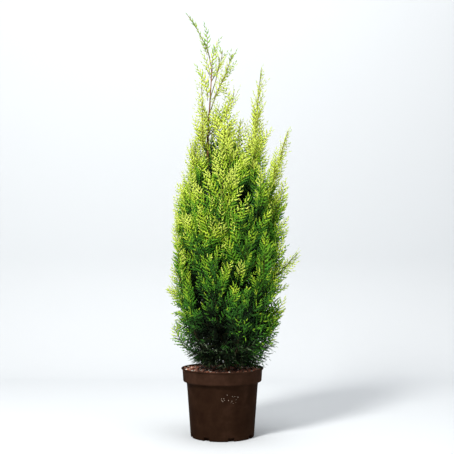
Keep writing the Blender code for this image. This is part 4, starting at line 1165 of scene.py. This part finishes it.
def makeSoil():  # rings round the trunk, then the wall, closed in the middle of the top and underneath
    r = np.linspace(0, soil["radius"], soil["rings"])[1:, None]
    a = np.arange(soil["spokes"])[None] * 2 * np.pi / soil["spokes"]
    x, y = r * np.cos(a), r * np.sin(a)
    top = np.stack([x, y, soilHeight(x, y)], -1)
    under = soilTop - soil["depth"]
    wall = top[-1:] * [soil["wallShare"], soil["wallShare"], 0] + [0, 0, under]
    rings = np.concatenate([top, wall])[None]
    return lofted(rings, np.array([[0, 0, soilHeight(0, 0)]]), np.array([[0, 0, under]]))


chipRule = {"within": 0.107, "length": (0.35, 1.0), "width": (0.2, 0.5), "height": (0.08, 0.2),
            "push": (0.6, 1.15), "tilt": 0.35, "above": 0.9}
chips = {  # how many, the longest, and the colour as seen
    "chips_dark": (240, 0.015, (70, 44, 36)), "chips_brown": (280, 0.015, (148, 102, 84)),
    "chips_red": (190, 0.013, (182, 114, 90)), "chips_pale": (220, 0.011, (240, 222, 206)),
}


def makeChips(rng, count, longest):  # flat shards: boxes whose corners are pushed about, laid at any angle
    corner = np.array([(x, y, z) for x in (-1, 1) for y in (-1, 1) for z in (-1, 1)], float)
    box = np.array([(0, 1, 3, 2), (4, 6, 7, 5), (0, 4, 5, 1), (2, 3, 7, 6), (0, 2, 6, 4), (1, 5, 7, 3)])
    tris = outwardFaces(corner, np.vstack([box[:, [0, 1, 2]], box[:, [0, 2, 3]]]))
    r = chipRule["within"] * np.sqrt(rng.random(count))
    a = rng.uniform(0, 2 * np.pi, count)
    x, y = r * np.cos(a), r * np.sin(a)
    sides = [rng.uniform(*chipRule[key], count) * longest for key in ("length", "width", "height")]
    size = np.stack(sides, -1) / 2
    pushed = corner[None] * size[:, None] * rng.uniform(*chipRule["push"], (count, 8, 3))
    px, py, pz = np.moveaxis(pushed, -1, 0)
    turn, tilt = rng.uniform(0, 2 * np.pi, (count, 1)), rng.normal(scale=chipRule["tilt"], size=(count, 1))
    tx, tz = px * np.cos(tilt) - pz * np.sin(tilt), px * np.sin(tilt) + pz * np.cos(tilt)
    wx, wy = tx * np.cos(turn) - py * np.sin(turn), tx * np.sin(turn) + py * np.cos(turn)
    base = soilHeight(x, y) + size[:, 2] * chipRule["above"]
    return repeated(np.stack([wx + x[:, None], wy + y[:, None], tz + base[:, None]], -1), tris)


soilStops = ((0.34, (56, 36, 28)), (0.52, (118, 80, 66)), (0.7, (205, 165, 142)))
soilMaterial = grainedMaterial("moist compost", 0.92, 0.2, 420, 6.0, soilStops, (0.9, 0.003))
clean(putMesh("compost", *makeSoil(), soilMaterial, "soil", ["soil"]))
for index, (name, (count, longest, colour)) in enumerate(chips.items()):
    shape = makeChips(np.random.default_rng(seed + 900 + index), count, longest)
    stops = ((0.35, [c * 0.72 for c in colour]), (0.65, [min(255, c * 1.18) for c in colour]))
    material = grainedMaterial(name.replace("_", ", "), 0.85, 0.25, 500, 4.0, stops, (0.6, 0.001))
    putMesh(name, *shape, material, "soil", smooth=False)
print("compost done")


# floor, light and camera

stage = {"wide": 14.0, "back": 1.6, "front": -14.0, "high": 4.5, "bend": 0.5, "colour": (206, 209, 212)}
lights = {
    # place, where it aims, size, power and colour
    "key": ((-1.4, -2.4, 3.0), (0, 0, 0.55), 0.8, 175, (1.0, 0.99, 0.96)),
    "fill": ((2.4, -2.2, 1.6), (0, 0, 0.6), 2.5, 20, (1, 1, 1)),
    "top": ((0.2, -0.2, 3.4), (0, 0, 0.5), 1.8, 52, (1, 1, 1)),
}
sky = {"colour": (0.97, 0.98, 1.0, 1.0), "strength": 0.34}
view = {"place": (0.0065, -2.5, 0.5), "aim": (0.0129, 0.0, 0.583), "focal": 889.0, "pixels": 454.0}


def makeStage():  # a floor that bends up into a backdrop, as one sheet
    a = np.linspace(0, np.pi / 2, 24)
    curve = np.stack([stage["back"] - stage["bend"] * (1 - np.sin(a)), stage["bend"] * (1 - np.cos(a))], -1)
    path = np.vstack([[stage["front"], 0.0], curve, [stage["back"], stage["high"]]])
    x = np.broadcast_to([-stage["wide"], stage["wide"]], (len(path), 2))
    verts = np.stack([x, *np.repeat(path.T[:, :, None], 2, 2)], -1).reshape(-1, 3)
    i = np.arange(len(path) - 1) * 2
    faces = np.stack([i, i + 1, i + 3, i, i + 3, i + 2], -1).reshape(-1, 3)
    mesh = bpy.data.meshes.new("floor")
    mesh.from_pydata(verts.tolist(), [], faces.tolist())
    mesh.shade_smooth()
    floor = bpy.data.objects.new("floor", mesh)
    bpy.context.scene.collection.objects.link(floor)
    material, tree, shader = newMaterial("pale floor", 0.9, 0.1)
    shader.inputs["Base Color"].default_value = (*srgb(*stage["colour"]), 1.0)
    # its back lets everything through, so that it hides nothing in a view from behind
    sideSeen, clear = tree.nodes.new("ShaderNodeNewGeometry"), tree.nodes.new("ShaderNodeBsdfTransparent")
    either = tree.nodes.new("ShaderNodeMixShader")
    tree.links.new(sideSeen.outputs["Backfacing"], either.inputs["Fac"])
    tree.links.new(shader.outputs["BSDF"], either.inputs[1])
    tree.links.new(clear.outputs["BSDF"], either.inputs[2])
    tree.links.new(either.outputs["Shader"], tree.nodes["Material Output"].inputs["Surface"])
    mesh.materials.append(material)


def areaLight(name, place, aim, size, power, colour):
    light = bpy.data.lights.new(name, "AREA")
    light.shape = "DISK"
    light.size = size
    light.energy = power
    light.color = colour
    obj = bpy.data.objects.new(name, light)
    obj.location = place
    obj.rotation_euler = Vector(np.array(aim) - np.array(place)).to_track_quat("-Z", "Y").to_euler()
    bpy.context.scene.collection.objects.link(obj)


def placeCamera():
    camera = bpy.data.cameras.new("camera")
    camera.sensor_width = 36.0
    camera.lens = view["focal"] / view["pixels"] * camera.sensor_width
    obj = bpy.data.objects.new("camera", camera)
    bpy.context.scene.collection.objects.link(obj)
    ahead = unit(np.array(view["aim"]) - np.array(view["place"]))
    rightward = unit(np.cross(ahead, up))
    axes = np.eye(4)
    axes[:3] = np.stack([rightward, np.cross(rightward, ahead), -ahead, view["place"]], -1)
    obj.matrix_world = Matrix(axes.tolist())
    bpy.context.scene.camera = obj


makeStage()
for name, light in lights.items():
    areaLight(name, *light)
world = bpy.data.worlds.new("soft sky")
bpy.context.scene.world = world
world.use_nodes = True
world.node_tree.nodes["Background"].inputs["Color"].default_value = sky["colour"]
world.node_tree.nodes["Background"].inputs["Strength"].default_value = sky["strength"]
bpy.context.scene.view_settings.view_transform = "Standard"
placeCamera()

print("pieces:", len(allPieces), "triangles:", sum(count for _, count in allPieces),
      "largest:", max(allPieces, key=lambda entry: entry[1]))
